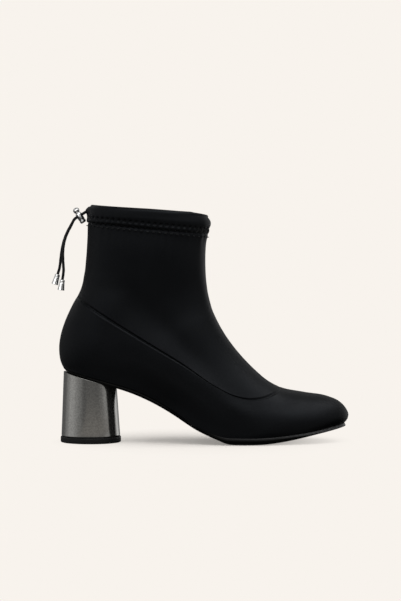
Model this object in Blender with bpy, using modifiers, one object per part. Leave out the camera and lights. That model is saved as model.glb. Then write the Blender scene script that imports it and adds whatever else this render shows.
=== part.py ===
"""A stretch ankle boot on a round block heel, with a drawcord at its collar.

The boot stands on z = 0 with its toe towards +X, and its lateral side towards -Y (a right boot).
Its shape is worked out in millimetres along the last: x runs from the back of the heel to the
toe, z from the floor, and y from the last's middle plane.
"""
import math

import bmesh
import bpy
import numpy as np
from mathutils import Matrix, Vector

MM = 0.001

# Driving dimensions, in millimetres
BOOT_CENTRE_X = 123.05        # middle of the boot's length, which is the frame's origin
BOOT_CENTRE_Y = 1.65          # middle of the boot's width
WALL = 2.0                    # lined stretch fabric
FIT = 0.3                     # room between pieces that meet
HEM_HEIGHT = 16.0             # turned hem at the collar
HEM_PROUD = 1.2               # how far the hem stands out from the shaft
HEM_FRONT_DROP = 1.5          # how much narrower the hem is at the front
COLLAR_PROUD = 0.4            # how far the collar's edge stands out, where the hem is turned
COLLAR_BOW = 3.4              # how far the collar's edge rises between back and front
COLLAR_BOW_POWER = 8          # how sharply it falls again at the front
SEAM_PROUD = 0.5              # how far the lower panel stands out at the seam
SEAM_WIDTH = 0.012            # share of a panel's height that the seam's step takes
TOE_SWING = 4.5               # how far the toe turns towards the medial side
TOE_SWING_FROM = 110.0        # where that turn starts along the last
TOE_SWING_LENGTH = 135.0
WAIST_SHIFT = 1.2             # how far the waist's middle lies towards the lateral side
WAIST_FROM = 40.0             # where that shift starts and ends along the last
WAIST_TO = 170.0
WAIST_EASE = 60.0
TOE_ROUND = 66.0              # length over which the toe narrows to its tip
TOE_POWER = 2.0
BACK_POWER = 2.0
RIDGE_POWER = 2.2
SOLE_EDGE_BEVEL = 0.8
INSOLE_INSET = 3.3
INSOLE_THICK = 2.2
TOP_PIECE_THICK = 5.0
TOP_PIECE_BEVEL = 0.6
CORD_DIAMETER = 2.4
CORD_HOLE = 3.0
CORD_SPREAD = 2.3             # half the distance between the two tails, side by side in the lock

# Resolution
AROUND = 56                   # points in each loop round the boot
LINE_SAMPLES = 600
HEEL_SIDES = 44
LOCK_SIDES = 24
HOLE_SIDES = 16
BELL_SIDES = 20
TAIL_POINTS = 14
MERGE_DISTANCE = 0.00001      # metres

# Side outline of the upper: back line from the heel seat up to the collar
BACK_LINE = (
    # x, z
    (4.3, 62.4),
    (2.2, 67.0),
    (0.4, 77.5),
    (1.4, 89.0),
    (5.1, 101.5),
    (11.9, 116.5),
    (18.4, 128.5),
    (21.5, 141.0),
    (23.4, 157.0),
    (24.4, 173.0),
    (25.0, 187.0),
    (28.0, 200.8),
)

# Side outline of the upper: from the toe's lower edge over the vamp and instep to the collar
FRONT_LINE = (
    # x, z
    (243.0, 16.8),
    (245.7, 22.2),
    (243.1, 28.8),
    (237.8, 34.1),
    (227.8, 38.5),
    (207.5, 42.0),
    (187.2, 46.4),
    (175.9, 52.6),
    (167.7, 59.6),
    (154.4, 73.2),
    (143.7, 86.8),
    (135.5, 100.2),
    (129.3, 114.5),
    (125.6, 131.0),
    (124.2, 150.0),
    (124.8, 168.0),
    (127.2, 182.5),
    (125.4, 191.2),
)

# The seam between the two panels, as it runs from the back of the heel to the vamp's ridge
SEAM_LINE = (
    # x, z
    (15.1, 123.0),
    (30.4, 112.8),
    (68.2, 89.6),
    (106.8, 66.3),
    (133.8, 48.6),
    (148.6, 41.8),
    (164.0, 39.3),
    (178.0, 41.6),
    (184.9, 44.8),
    (187.2, 46.4),
)

# Underside of the sole along the boot's middle
SOLE_LINE = (
    # x, z, slope, thickness
    (2.0, 60.9, -0.283, 1.8),
    (52.0, 46.8, -0.283, 2.0),
    (92.0, 28.1, -0.64, 2.6),
    (145.0, 0.0, 0.0, 3.4),
    (164.0, 0.0, 0.0, 3.5),
    (244.5, 13.6, 0.2, 3.2),
)

# How far the sole's edge stands out from the upper's lower edge
SOLE_EDGE = (
    # x, out
    (0.0, -0.6),
    (60.0, -0.8),
    (100.0, -0.4),
    (140.0, 1.2),
    (215.0, 1.2),
    (240.0, 0.3),
    (250.0, 0.3),
)

# Sections of the last: where each starts on the back or bottom line, its half widths at that
# start and in its body, and the share of its height at which it begins to round to the ridge
SECTIONS = (
    # name, x, z, lateral, medial, body, shoulder
    ("collar", 28.0, 201.0, 33.0, 33.0, 33.0, 0.50),
    ("shaft", 24.0, 172.0, 31.8, 31.8, 31.8, 0.50),
    ("ankle", 21.0, 140.0, 31.0, 31.0, 31.0, 0.48),
    ("counter", 0.0, 80.0, 28.6, 28.6, 30.2, 0.42),
    ("seat", 6.0, 60.0, 25.6, 25.6, 30.6, 0.40),
    ("breast", 50.0, 49.0, 25.6, 25.0, 31.0, 0.36),
    ("waist", 90.0, 31.0, 24.2, 20.8, 31.6, 0.30),
    ("joint", 122.0, 12.0, 31.6, 28.0, 34.4, 0.22),
    ("ball", 160.0, 4.0, 38.0, 37.0, 38.4, 0.12),
    ("vamp", 185.0, 5.0, 38.6, 38.6, 38.8, 0.08),
    ("toe box", 215.0, 10.0, 38.2, 38.2, 38.4, 0.06),
    ("tip", 246.0, 17.0, 37.0, 37.0, 37.4, 0.06),
)

# How fast the back of the boot rounds from its back line to its full width
BACK_ROUND = (
    # z, length
    (40.0, 28.0),
    (62.0, 28.0),
    (80.0, 33.0),
    (105.0, 40.0),
    (130.0, 48.0),
    (205.0, 50.0),
)

# The pivot that the sections of the ankle fan out from
PIVOT_X = 185.0
PIVOT_Z = 155.0
FAN_ARM = 100.0
BODY_SHARE = 0.30             # share of a section's height over which the foot widens to the body

# Heel block: ends of its oval column
HEEL_OVAL = (
    # end, x_back, x_front, half_width
    ("floor", 2.2, 51.9, 24.2),
    ("seat", 4.2, 49.0, 24.2),
)
TOP_PIECE_RIM = 0.7           # how far the top piece stands out from the heel block

# Drawcord: lock and tails, seen from the side
LOCK_CENTRE = (17.8, 191.4)
LOCK_LEAN = math.radians(58.0)    # the tails leave the lock at this angle from straight down
LOCK_WIDEN = 1.75                 # the barrel is this much wider than thick
LOCK_PROFILE = (
    # along, radius
    (7.8, 0.0),
    (7.5, 1.3),
    (6.6, 2.3),
    (5.2, 2.75),
    (3.9, 2.4),
    (3.1, 1.9),
    (2.5, 2.3),
    (1.9, 2.6),
    (-3.4, 2.7),
    (-3.7, 2.45),
    (-4.3, 2.45),
    (-4.6, 2.7),
    (-6.0, 2.6),
    (-6.6, 2.1),
    (-6.8, 1.6),
    (-6.8, 0.0),
)
TAIL_ROUTES = {
    # x, y, z of each tail's points below the lock
    "near": (
        (10.8, -2.3, 183.2),
        (7.3, -2.5, 176.4),
        (5.0, -2.9, 169.4),
        (4.0, -3.4, 162.4),
        (4.0, -3.9, 153.6),
        (4.4, -4.2, 145.2),
        (3.3, -4.4, 136.4),
    ),
    "far": (
        (10.4, 2.3, 183.4),
        (6.8, 2.4, 176.6),
        (4.2, 2.5, 169.6),
        (2.6, 2.6, 162.4),
        (1.6, 2.7, 155.0),
        (0.7, 2.8, 147.8),
        (-1.2, 2.9, 140.9),
    ),
}
TAIL_START = 7.3              # where a tail leaves the hem, ahead of the lock's middle
TAIL_LEAVES = 4.5             # where a tail is clear of the lock, behind the lock's middle
HOLE_LENGTH = 12.0
BELL_AIM_SHARE = 0.97         # a bell points along the last stretch of its tail, from this share
BELL_PROFILE = (
    # along, radius
    (0.9, 0.0),
    (0.9, 1.5),
    (2.2, 1.5),
    (2.2, 1.9),
    (1.9, 2.15),
    (-3.2, 2.5),
    (-6.2, 2.9),
    (-6.6, 2.85),
    (-6.6, 2.2),
    (-2.6, 1.7),
    (-2.6, 0.0),
)

COLOURS = {
    # linear colour, roughness, metallic
    "stretch_fabric": ((0.006, 0.006, 0.007, 1.0), 0.85, 0.0),
    "insole_lining": ((0.012, 0.011, 0.011, 1.0), 0.9, 0.0),
    "sole_rubber": ((0.012, 0.012, 0.012, 1.0), 0.4, 0.0),
    "heel_finish": ((0.13, 0.13, 0.14, 1.0), 0.28, 0.9),
    "top_piece_rubber": ((0.01, 0.01, 0.01, 1.0), 0.6, 0.0),
    "cord_braid": ((0.006, 0.006, 0.006, 1.0), 0.7, 0.0),
    "polished_metal": ((0.62, 0.62, 0.6, 1.0), 0.15, 1.0),
}


# Curves through rows of a table

def columns(rows):
    """The table's number columns as arrays."""
    return [np.array(column, float) for column in zip(*rows)]


def hermite(knots, values, slopes, at):
    """Cubic curve with the given values and slopes at its knots."""
    at = np.clip(at, knots[0], knots[-1])
    i = np.clip(np.searchsorted(knots, at) - 1, 0, len(knots) - 2)
    width = knots[i + 1] - knots[i]
    u = (at - knots[i]) / width
    start = values[i] * (1 + 2 * u) * (1 - u) ** 2 + slopes[i] * width * u * (1 - u) ** 2
    end = values[i + 1] * u ** 2 * (3 - 2 * u) + slopes[i + 1] * width * u ** 2 * (u - 1)
    return start + end


def through(knots, values, at):
    """Smooth curve through the values at the knots."""
    return hermite(knots, values, np.gradient(values, knots), np.asarray(at, float))


def chord_lengths(points):
    """Distance along a row of points, from 0 to 1."""
    steps = np.linalg.norm(np.diff(points, axis=0), axis=1)
    return np.concatenate(([0.0], np.cumsum(steps))) / steps.sum()


def line_through(rows, at):
    """Smooth line through the rows, at shares of its length."""
    points = np.array(rows, float)
    knots = chord_lengths(points)
    return np.stack([through(knots, column, at) for column in points.T], axis=-1)


def ease(u):
    """Smooth step from 0 to 1."""
    u = np.clip(u, 0.0, 1.0)
    return u * u * (3 - 2 * u)


def round_off(u, power):
    """Rises from 0 to 1 like the quarter of a rounded outline."""
    return (1 - (1 - np.clip(u, 0.0, 1.0)) ** power) ** (1 / power)


# Side view of the last

def sole_bottom(x):
    """Height of the sole's underside."""
    knots, heights, slopes, _ = columns(SOLE_LINE)
    return hermite(knots, heights, slopes, np.asarray(x, float))


def sole_thickness(x):
    """Thickness of the sole."""
    knots, _, _, thickness = columns(SOLE_LINE)
    return np.interp(x, knots, thickness)


def sole_top(x):
    """Height of the sole's upper face."""
    return sole_bottom(x) + sole_thickness(x)


def back_x(z):
    """The back line's x at a height."""
    x, heights = columns(BACK_LINE)
    return through(heights, x, z)


def toe_x(z):
    """The toe's foremost x at a height, tucked in under its widest level."""
    under = np.clip((TOE_TIP[1] - z) / (TOE_TIP[1] - FRONT_LINE[0][1]), 0.0, 3.0)
    return TOE_TIP[0] - (TOE_TIP[0] - FRONT_LINE[0][0]) * under ** 2


def fan(x, z):
    """A point's station along the fan of sections, and its distance from the fan's pivot."""
    quarter = math.pi / 2 * FAN_ARM
    behind = PIVOT_X - x
    below = PIVOT_Z - z
    turned = np.arctan2(np.maximum(below, 0.0), np.maximum(behind, 0.0)) * FAN_ARM
    station = np.where(below <= 0.0, below, np.where(behind <= 0.0, quarter - behind, turned))
    reach = np.where(below <= 0.0, behind, np.where(behind <= 0.0, below, np.hypot(behind, below)))
    return station, reach


def reach_table(line):
    """Stations and distances of a line of the side view, sorted by station."""
    station, reach = fan(line[:, 0], line[:, 1])
    order = np.argsort(station)
    return station[order], reach[order]


SHARES = np.linspace(0.0, 1.0, LINE_SAMPLES)
FRONT_POINTS = line_through(FRONT_LINE, SHARES)
TOE_TIP = FRONT_POINTS[FRONT_POINTS[:, 0].argmax()]
FRONT_REACH = reach_table(FRONT_POINTS[FRONT_POINTS[:, 1] >= TOE_TIP[1]])
SECTION_STATIONS = fan(*columns([row[1:3] for row in SECTIONS]))
SECTION_SIZES = columns([row[3:] for row in SECTIONS])


def half_width(x, z, side):
    """Half width of the upper at a point of its side view; side is -1 lateral or 1 medial."""
    station, reach = fan(x, z)
    lateral, medial, body, shoulder = [
        through(SECTION_STATIONS[0], size, station) for size in SECTION_SIZES]
    start = through(SECTION_STATIONS[0], SECTION_STATIONS[1], station)
    end = np.interp(station, *FRONT_REACH)
    height = np.clip((start - reach) / (start - end), 0.0, 1.0)
    foot = np.where(side < 0, lateral, medial)
    width = foot + (body - foot) * ease(height / BODY_SHARE)
    ridge = np.clip((height - shoulder) / (1 - shoulder), 0.0, 1.0)
    width = width * (1 - ridge ** RIDGE_POWER) ** (1 / RIDGE_POWER)
    heights, lengths = columns(BACK_ROUND)
    width = width * round_off((x - back_x(z)) / np.interp(z, heights, lengths), BACK_POWER)
    return width * round_off((toe_x(z) - x) / TOE_ROUND, TOE_POWER)


def middle_y(x):
    """The last's middle line in plan, which swings medially towards the toe."""
    toe = TOE_SWING * ease((x - TOE_SWING_FROM) / TOE_SWING_LENGTH)
    waist = ease((x - WAIST_FROM) / WAIST_EASE) * ease((WAIST_TO - x) / WAIST_EASE)
    return toe - WAIST_SHIFT * waist


# Loops round the upper

def loop_shares():
    """Shares from back to front for a closed loop, lateral side first, and each point's side."""
    turn = np.arange(AROUND) * 2 * math.pi / AROUND
    return (1 - np.cos(turn)) / 2, np.where(turn <= math.pi, -1.0, 1.0)


def patch(lower, upper, back, front, level, share):
    """Point of the side view between four border lines."""
    borders = (1 - level) * lower(share) + level * upper(share)
    rails = (1 - share)[:, None] * back(level) + share[:, None] * front(level)
    low_chord = (1 - share)[:, None] * lower(np.zeros(1)) + share[:, None] * lower(np.ones(1))
    high_chord = (1 - share)[:, None] * upper(np.zeros(1)) + share[:, None] * upper(np.ones(1))
    return borders + rails - (1 - level) * low_chord - level * high_chord


def feather_line(share):
    """The upper's lower edge, just clear of the sole."""
    x = BACK_LINE[0][0] + (FRONT_LINE[0][0] - BACK_LINE[0][0]) * share
    return np.stack([x, sole_top(x) + FIT], axis=-1)


def seam_line(share):
    """The seam between the two panels."""
    return line_through(SEAM_LINE, share)


def rail(rows, start, end):
    """A border line that follows part of a table's line, between two shares of its length."""
    return lambda level: line_through(rows, start + (end - start) * np.atleast_1d(level))


def share_at(rows, height):
    """Share of a rising line's length at which it reaches a height."""
    return float(np.interp(height, line_through(rows, SHARES)[:, 1], SHARES))


def straight(start, end):
    """A border line straight across the shaft."""
    return lambda share: np.outer(1 - share, start) + np.outer(share, end)


def collar_line(share):
    """The collar's edge, bowed up between the back and the front."""
    edge = straight(np.array(BACK_LINE[-1]), np.array(FRONT_LINE[-1]))(share)
    edge[:, 1] += COLLAR_BOW * (share - share ** COLLAR_BOW_POWER)
    return edge


BACK_SEAM = share_at(BACK_LINE, SEAM_LINE[0][1])
FRONT_SEAM = share_at(FRONT_LINE, SEAM_LINE[-1][1])
BACK_HEM = share_at(BACK_LINE, BACK_LINE[-1][1] - HEM_HEIGHT)
FRONT_HEM = share_at(FRONT_LINE, FRONT_LINE[-1][1] - HEM_HEIGHT + HEM_FRONT_DROP)
HEM_LINE = straight(line_through(BACK_LINE, BACK_HEM), line_through(FRONT_LINE, FRONT_HEM))
PANELS = {
    # lower border, upper border, back rail, front rail
    "lower": (
        feather_line,
        seam_line,
        rail(BACK_LINE, 0.0, BACK_SEAM),
        rail(FRONT_LINE, 0.0, FRONT_SEAM),
    ),
    "shaft": (
        seam_line,
        HEM_LINE,
        rail(BACK_LINE, BACK_SEAM, BACK_HEM),
        rail(FRONT_LINE, FRONT_SEAM, FRONT_HEM),
    ),
    "hem": (
        HEM_LINE,
        collar_line,
        rail(BACK_LINE, BACK_HEM, 1.0),
        rail(FRONT_LINE, FRONT_HEM, 1.0),
    ),
}

# Rows of loops: each panel's levels, and how far it stands out from the last there
ROWS = (
    # panel, levels, proud
    ("lower", (0.0,), 0.0),
    ("lower", (0.08, 0.18, 0.3, 0.43, 0.57, 0.71, 0.85, 1.0 - SEAM_WIDTH), SEAM_PROUD),
    ("shaft", (SEAM_WIDTH, 0.12, 0.24, 0.36, 0.48, 0.6, 0.72, 0.86, 1.0 - SEAM_WIDTH), 0.0),
    ("hem", (0.03, 0.35, 0.65, 0.9), HEM_PROUD),
    ("hem", (1.0,), COLLAR_PROUD),
)


def last_loop(panel, level):
    """One closed loop on the last's surface."""
    share, side = loop_shares()
    flat = patch(*PANELS[panel], level, share)
    y = middle_y(flat[:, 0]) + side * half_width(flat[:, 0], flat[:, 1], side)
    return np.stack([flat[:, 0], y, flat[:, 1]], axis=-1)


def upper_loops():
    """Every loop of the upper's outer face, from the sole to the collar."""
    loops = np.array([last_loop(panel, level) for panel, levels, _ in ROWS for level in levels])
    proud = np.concatenate([np.full(len(levels), out) for _, levels, out in ROWS])
    round_step = np.roll(loops, -1, axis=1) - np.roll(loops, 1, axis=1)
    out = np.cross(round_step, np.gradient(loops, axis=0))
    out /= np.linalg.norm(out, axis=2, keepdims=True)
    return loops + out * proud[:, None, None]


def feather_loop(inset):
    """The upper's lower edge in plan, moved out or in by a distance for each point."""
    loop = last_loop("lower", 0.0)[:, :2]
    along = np.roll(loop, -1, axis=0) - np.roll(loop, 1, axis=0)
    out = np.stack([along[:, 1], -along[:, 0]], axis=-1)
    out /= np.linalg.norm(out, axis=1, keepdims=True)
    return loop - out * np.broadcast_to(inset, len(loop))[:, None]


def sole_edge_out():
    """How far the sole's edge stands out at each point of its loop."""
    x, out = columns(SOLE_EDGE)
    return np.interp(last_loop("lower", 0.0)[:, 0], x, out)


# Meshes and objects

def to_frame(points):
    """Points of the last in millimetres, as places in the boot's frame in metres."""
    shift = np.array([BOOT_CENTRE_X, BOOT_CENTRE_Y, 0.0])
    return [Vector(point) * MM for point in np.asarray(points, float) - shift]


def material(name):
    """The named finish, made once."""
    found = bpy.data.materials.get(name)
    if found:
        return found
    colour, roughness, metallic = COLOURS[name]
    made = bpy.data.materials.new(name)
    made.use_nodes = True
    shader = made.node_tree.nodes["Principled BSDF"]
    shader.inputs["Base Color"].default_value = colour
    shader.inputs["Roughness"].default_value = roughness
    shader.inputs["Metallic"].default_value = metallic
    made.diffuse_color = colour
    return made


def add_object(name, data, finish, collection):
    """A named object that holds the mesh or curve, in its finish."""
    made = bpy.data.objects.new(name, data)
    collection.objects.link(made)
    data.materials.append(material(finish))
    return made


def mesh_from(bm, name, smooth_angle=math.radians(40.0)):
    """A mesh datablock from the bmesh, shaded smooth up to an angle."""
    mesh = bpy.data.meshes.new(name)
    bm.to_mesh(mesh)
    bm.free()
    mesh.shade_smooth()
    mesh.set_sharp_from_angle(angle=smooth_angle)
    return mesh


def loft(loops):
    """Faces between closed loops, and the loops' vertices."""
    bm = bmesh.new()
    rings = [[bm.verts.new(place) for place in to_frame(loop)] for loop in loops]
    for low, high in zip(rings, rings[1:]):
        count = len(low)
        for i in range(count):
            j = (i + 1) % count
            bm.faces.new((low[i], low[j], high[j], high[i]))
    return bm, rings


def close_across(bm, ring):
    """Closes a loop with strips that run straight from its lateral to its medial side."""
    count = len(ring)
    half = count // 2
    bm.faces.new((ring[0], ring[1], ring[-1]))
    for i in range(1, half - 1):
        bm.faces.new((ring[i], ring[i + 1], ring[count - i - 1], ring[count - i]))
    bm.faces.new((ring[half - 1], ring[half], ring[half + 1]))


def plate(loops, name):
    """A closed plate between a bottom and a top loop, with the loops of its edge between."""
    bm, rings = loft(loops)
    close_across(bm, rings[0])
    close_across(bm, rings[-1])
    bmesh.ops.recalc_face_normals(bm, faces=bm.faces)
    return mesh_from(bm, name)


# Pieces

def make_upper(collection):
    """The hollow upper, open at the collar and underneath."""
    bm, _ = loft(upper_loops())
    upper = add_object("upper", mesh_from(bm, "upper"), "stretch_fabric", collection)
    wall = upper.modifiers.new("wall", "SOLIDIFY")
    wall.thickness = WALL * MM
    wall.offset = -1.0
    wall.use_even_offset = True
    return upper


def at_heights(plan, heights):
    """A loop in plan, lifted to its heights."""
    return np.column_stack([plan, heights])


def make_outsole(collection):
    """The full-length sole, with a bevelled edge all round."""
    edge = -sole_edge_out()
    outer = feather_loop(edge)
    inner = feather_loop(edge + SOLE_EDGE_BEVEL)
    lift = np.minimum(SOLE_EDGE_BEVEL, sole_thickness(outer[:, 0]) / 3)
    loops = (
        at_heights(inner, sole_bottom(inner[:, 0])),
        at_heights(outer, sole_bottom(outer[:, 0]) + lift),
        at_heights(outer, sole_top(outer[:, 0]) - lift / 2),
        at_heights(inner, sole_top(inner[:, 0])),
    )
    return add_object("outsole", plate(loops, "outsole"), "sole_rubber", collection)


def make_insole(collection):
    """The footbed, inside the upper's wall."""
    plan = feather_loop(INSOLE_INSET)
    low = sole_top(plan[:, 0]) + FIT
    loops = (at_heights(plan, low), at_heights(plan, low + INSOLE_THICK))
    return add_object("insole", plate(loops, "insole"), "insole_lining", collection)


def oval(end, grow, turn):
    """Point on one end's oval of the heel column."""
    _, back, front, half = next(row for row in HEEL_OVAL if row[0] == end)
    x = (back + front) / 2 + ((front - back) / 2 + grow) * math.cos(turn)
    return x, (half + grow) * math.sin(turn)


def heel_column(name, ends):
    """A closed column between two ovals, each with its height as a function of x."""
    bm = bmesh.new()
    bmesh.ops.create_cone(
        bm, cap_ends=True, segments=HEEL_SIDES, radius1=1.0, radius2=1.0, depth=2.0)
    for vert in bm.verts:
        end, grow, height = ends[0] if vert.co.z < 0 else ends[1]
        x, y = oval(end, grow, math.atan2(vert.co.y, vert.co.x))
        vert.co = to_frame([(x, y, height(x))])[0]
    return mesh_from(bm, name)


def make_heel_block(collection):
    """The round heel column, its top cut to the slope of the seat."""
    ends = (
        ("floor", 0.0, lambda x: TOP_PIECE_THICK + FIT),
        ("seat", 0.0, lambda x: float(sole_bottom(x)) - FIT),
    )
    return add_object("heel_block", heel_column("heel_block", ends), "heel_finish", collection)


def make_heel_top_piece(collection):
    """The rubber top piece that the heel stands on."""
    ends = (
        ("floor", TOP_PIECE_RIM, lambda x: 0.0),
        ("floor", TOP_PIECE_RIM, lambda x: TOP_PIECE_THICK),
    )
    piece = add_object(
        "heel_top_piece", heel_column("heel_top_piece", ends), "top_piece_rubber", collection)
    rim = piece.modifiers.new("rim", "BEVEL")
    rim.width = TOP_PIECE_BEVEL * MM
    rim.segments = 1
    return piece


# Drawcord

def lock_axes():
    """The tails' direction through the lock, and the barrel's axis up to its head."""
    tails = Vector((-math.sin(LOCK_LEAN), 0.0, -math.cos(LOCK_LEAN)))
    return tails, Vector((-math.cos(LOCK_LEAN), 0.0, math.sin(LOCK_LEAN)))


def tail_route(which):
    """Hand-placed points of one tail, from the hem through the lock to its bell."""
    tails, _ = lock_axes()
    side = -CORD_SPREAD if which == "near" else CORD_SPREAD
    centre = Vector((LOCK_CENTRE[0], side, LOCK_CENTRE[1]))
    through_lock = [tuple(centre + tails * along) for along in (-TAIL_START, 0.0, TAIL_LEAVES)]
    return through_lock + list(TAIL_ROUTES[which])


def make_tail(which, collection):
    """One free end of the drawcord, from the hem to its bell."""
    points = to_frame(line_through(tail_route(which), np.linspace(0.0, 1.0, TAIL_POINTS)))
    curve = bpy.data.curves.new(f"cord_tail_{which}", "CURVE")
    curve.dimensions = "3D"
    curve.bevel_depth = CORD_DIAMETER / 2 * MM
    curve.bevel_resolution = 2
    curve.use_fill_caps = True
    spline = curve.splines.new("POLY")
    spline.points.add(len(points) - 1)
    for spot, place in zip(spline.points, points):
        spot.co = (*place, 1.0)
    return add_object(f"cord_tail_{which}", curve, "cord_braid", collection)


def turned(name, profile, sides, finish, collection):
    """A turned piece about its own Z axis, as a plain mesh."""
    bm = bmesh.new()
    verts = [bm.verts.new((radius * MM, 0.0, along * MM)) for along, radius in profile]
    for pair in zip(verts, verts[1:]):
        bm.edges.new(pair)
    mesh = bpy.data.meshes.new(name)
    bm.to_mesh(mesh)
    bm.free()
    piece = add_object(name, mesh, finish, collection)
    spin = piece.modifiers.new("turn", "SCREW")
    spin.steps = sides
    spin.render_steps = sides
    spin.use_merge_vertices = True
    spin.merge_threshold = MERGE_DISTANCE
    return piece


def aim(piece, along, centre):
    """Stands a turned piece's Z axis along a direction, at a place on the last."""
    side = Vector((0.0, 1.0, 0.0))
    across = side.cross(along).normalized()
    turn = Matrix((across, along.cross(across), along)).transposed().to_4x4()
    piece.matrix_world = Matrix.Translation(to_frame([centre])[0]) @ turn


def make_lock(collection, cutters):
    """The metal barrel, with a hole for each tail."""
    lock = turned("cord_lock", LOCK_PROFILE, LOCK_SIDES, "polished_metal", collection)
    tails, axis = lock_axes()
    aim(lock, axis, (LOCK_CENTRE[0], 0.0, LOCK_CENTRE[1]))
    lock.matrix_world = lock.matrix_world @ Matrix.Diagonal((1.0, LOCK_WIDEN, 1.0, 1.0))
    for which, side in (("near", -CORD_SPREAD), ("far", CORD_SPREAD)):
        bm = bmesh.new()
        bmesh.ops.create_cone(
            bm, cap_ends=True, segments=HOLE_SIDES, radius1=CORD_HOLE / 2 * MM,
            radius2=CORD_HOLE / 2 * MM, depth=HOLE_LENGTH * MM)
        cutter = add_object(
            f"lock_hole_{which}", mesh_from(bm, "lock_hole"), "polished_metal", cutters)
        cutter.hide_render = True
        cutter.display_type = "WIRE"
        aim(cutter, tails, (LOCK_CENTRE[0], side, LOCK_CENTRE[1]))
        hole = lock.modifiers.new(f"hole_{which}", "BOOLEAN")
        hole.object = cutter
        hole.operation = "DIFFERENCE"
    return lock


def make_bell(which, collection):
    """The metal bell on the end of one tail."""
    route = np.array(tail_route(which))
    along = Vector(line_through(route, np.array([BELL_AIM_SHARE]))[0] - route[-1]).normalized()
    bell = turned(f"cord_end_{which}", BELL_PROFILE, BELL_SIDES, "polished_metal", collection)
    aim(bell, along, tuple(Vector(route[-1]) - along * (BELL_PROFILE[1][0] + FIT)))
    return bell


def new_collection(name):
    """A named collection in the scene."""
    made = bpy.data.collections.new(name)
    bpy.context.scene.collection.children.link(made)
    return made


def main():
    """Makes every piece of the boot."""
    for old in list(bpy.data.objects):
        bpy.data.objects.remove(old)
    boot = new_collection("stretch_boot")
    cutters = new_collection("cutters")
    make_upper(boot)
    make_outsole(boot)
    make_insole(boot)
    make_heel_block(boot)
    make_heel_top_piece(boot)
    for which in TAIL_ROUTES:
        make_tail(which, boot)
        make_bell(which, boot)
    make_lock(boot, cutters)


main()
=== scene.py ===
"""Looks of a stretch ankle boot on a round block heel, laid out as a Blender add-on.

The boot's form is worked out in millimetres along the last, as in its source: x runs from the back
of the heel to the toe, z from the floor, and y from the last's middle plane. Meshes are in metres,
in the boot's own frame.
"""
import math

import bmesh
import bpy
import numpy as np
from bpy.props import FloatProperty, FloatVectorProperty, IntProperty, PointerProperty
from mathutils import Matrix, Vector


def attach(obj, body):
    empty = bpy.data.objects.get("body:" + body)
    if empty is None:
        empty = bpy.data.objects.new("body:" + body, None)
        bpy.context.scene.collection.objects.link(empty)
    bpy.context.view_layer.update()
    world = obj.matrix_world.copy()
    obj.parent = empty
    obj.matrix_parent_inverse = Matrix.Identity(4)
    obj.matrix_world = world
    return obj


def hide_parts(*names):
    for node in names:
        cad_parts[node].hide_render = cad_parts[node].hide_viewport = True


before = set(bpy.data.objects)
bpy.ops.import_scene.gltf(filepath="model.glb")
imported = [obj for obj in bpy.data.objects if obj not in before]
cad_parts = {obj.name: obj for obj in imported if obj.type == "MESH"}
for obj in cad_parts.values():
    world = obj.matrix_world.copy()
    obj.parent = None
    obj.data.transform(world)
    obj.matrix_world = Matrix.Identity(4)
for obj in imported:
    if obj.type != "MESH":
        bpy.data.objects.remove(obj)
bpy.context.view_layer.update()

bl_info = {
    "name": "Stretch boot",
    "version": (1, 0, 0),
    "blender": (4, 5, 0),
    "location": "3D View > Sidebar > Boot",
    "description": "Builds the finished pieces of a stretch ankle boot around its solids",
    "category": "Add Mesh",
}

MM = 0.001
ROOT = "root"

# Form of the last, in millimetres
BOOT_CENTRE = (123.05, 1.65, 0.0)
FIT = 0.3
HEM_HEIGHT = 14.4
HEM_FRONT_DROP = -0.1
COLLAR_BOW = 3.4
COLLAR_BOW_POWER = 8
TOE_SWING = 4.5
TOE_SWING_FROM = 110.0
TOE_SWING_LENGTH = 135.0
WAIST_SHIFT = 1.2
WAIST_FROM = 40.0
WAIST_TO = 170.0
WAIST_EASE = 60.0
TOE_ROUND = 66.0
TOE_POWER = 2.0
TOE_TUCK_MOST = 3.0
BACK_POWER = 2.0
RIDGE_POWER = 2.2
PIVOT_X = 185.0
PIVOT_Z = 155.0
FAN_ARM = 100.0
BODY_SHARE = 0.30
LINE_SAMPLES = 600
LOOP_SAMPLES = 1500

# Side outline of the upper: back line from the heel seat up to the collar
BACK_LINE = (
    # x, z
    (4.3, 62.4),
    (2.2, 67.0),
    (0.4, 77.5),
    (1.4, 89.0),
    (5.1, 101.5),
    (11.9, 116.5),
    (18.4, 128.5),
    (21.5, 141.0),
    (23.4, 157.0),
    (24.4, 173.0),
    (25.0, 187.0),
    (28.0, 200.8),
)

# Side outline of the upper: from the toe's lower edge over the vamp and instep to the collar
FRONT_LINE = (
    # x, z
    (243.0, 16.8),
    (245.7, 22.2),
    (243.1, 28.8),
    (237.8, 34.1),
    (227.8, 38.5),
    (207.5, 42.0),
    (187.2, 46.4),
    (175.9, 52.6),
    (167.7, 59.6),
    (154.4, 73.2),
    (143.7, 86.8),
    (135.5, 100.2),
    (129.3, 114.5),
    (125.6, 131.0),
    (124.2, 150.0),
    (124.8, 168.0),
    (127.2, 182.5),
    (125.4, 191.2),
)

# The seam between the two panels, from the back of the heel to the vamp's ridge
SEAM_LINE = (
    # x, z
    (15.1, 123.0),
    (30.4, 112.8),
    (68.2, 89.6),
    (106.8, 66.3),
    (133.8, 48.0),
    (148.6, 40.8),
    (164.0, 38.2),
    (178.0, 40.7),
    (184.9, 44.3),
    (187.2, 46.4),
)

# Underside of the sole along the boot's middle
SOLE_LINE = (
    # x, z, slope, thickness
    (2.0, 60.9, -0.283, 1.8),
    (52.0, 46.8, -0.283, 2.0),
    (92.0, 28.1, -0.64, 2.6),
    (145.0, 0.0, 0.0, 3.4),
    (164.0, 0.0, 0.0, 3.5),
    (244.5, 13.6, 0.2, 3.2),
)

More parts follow.
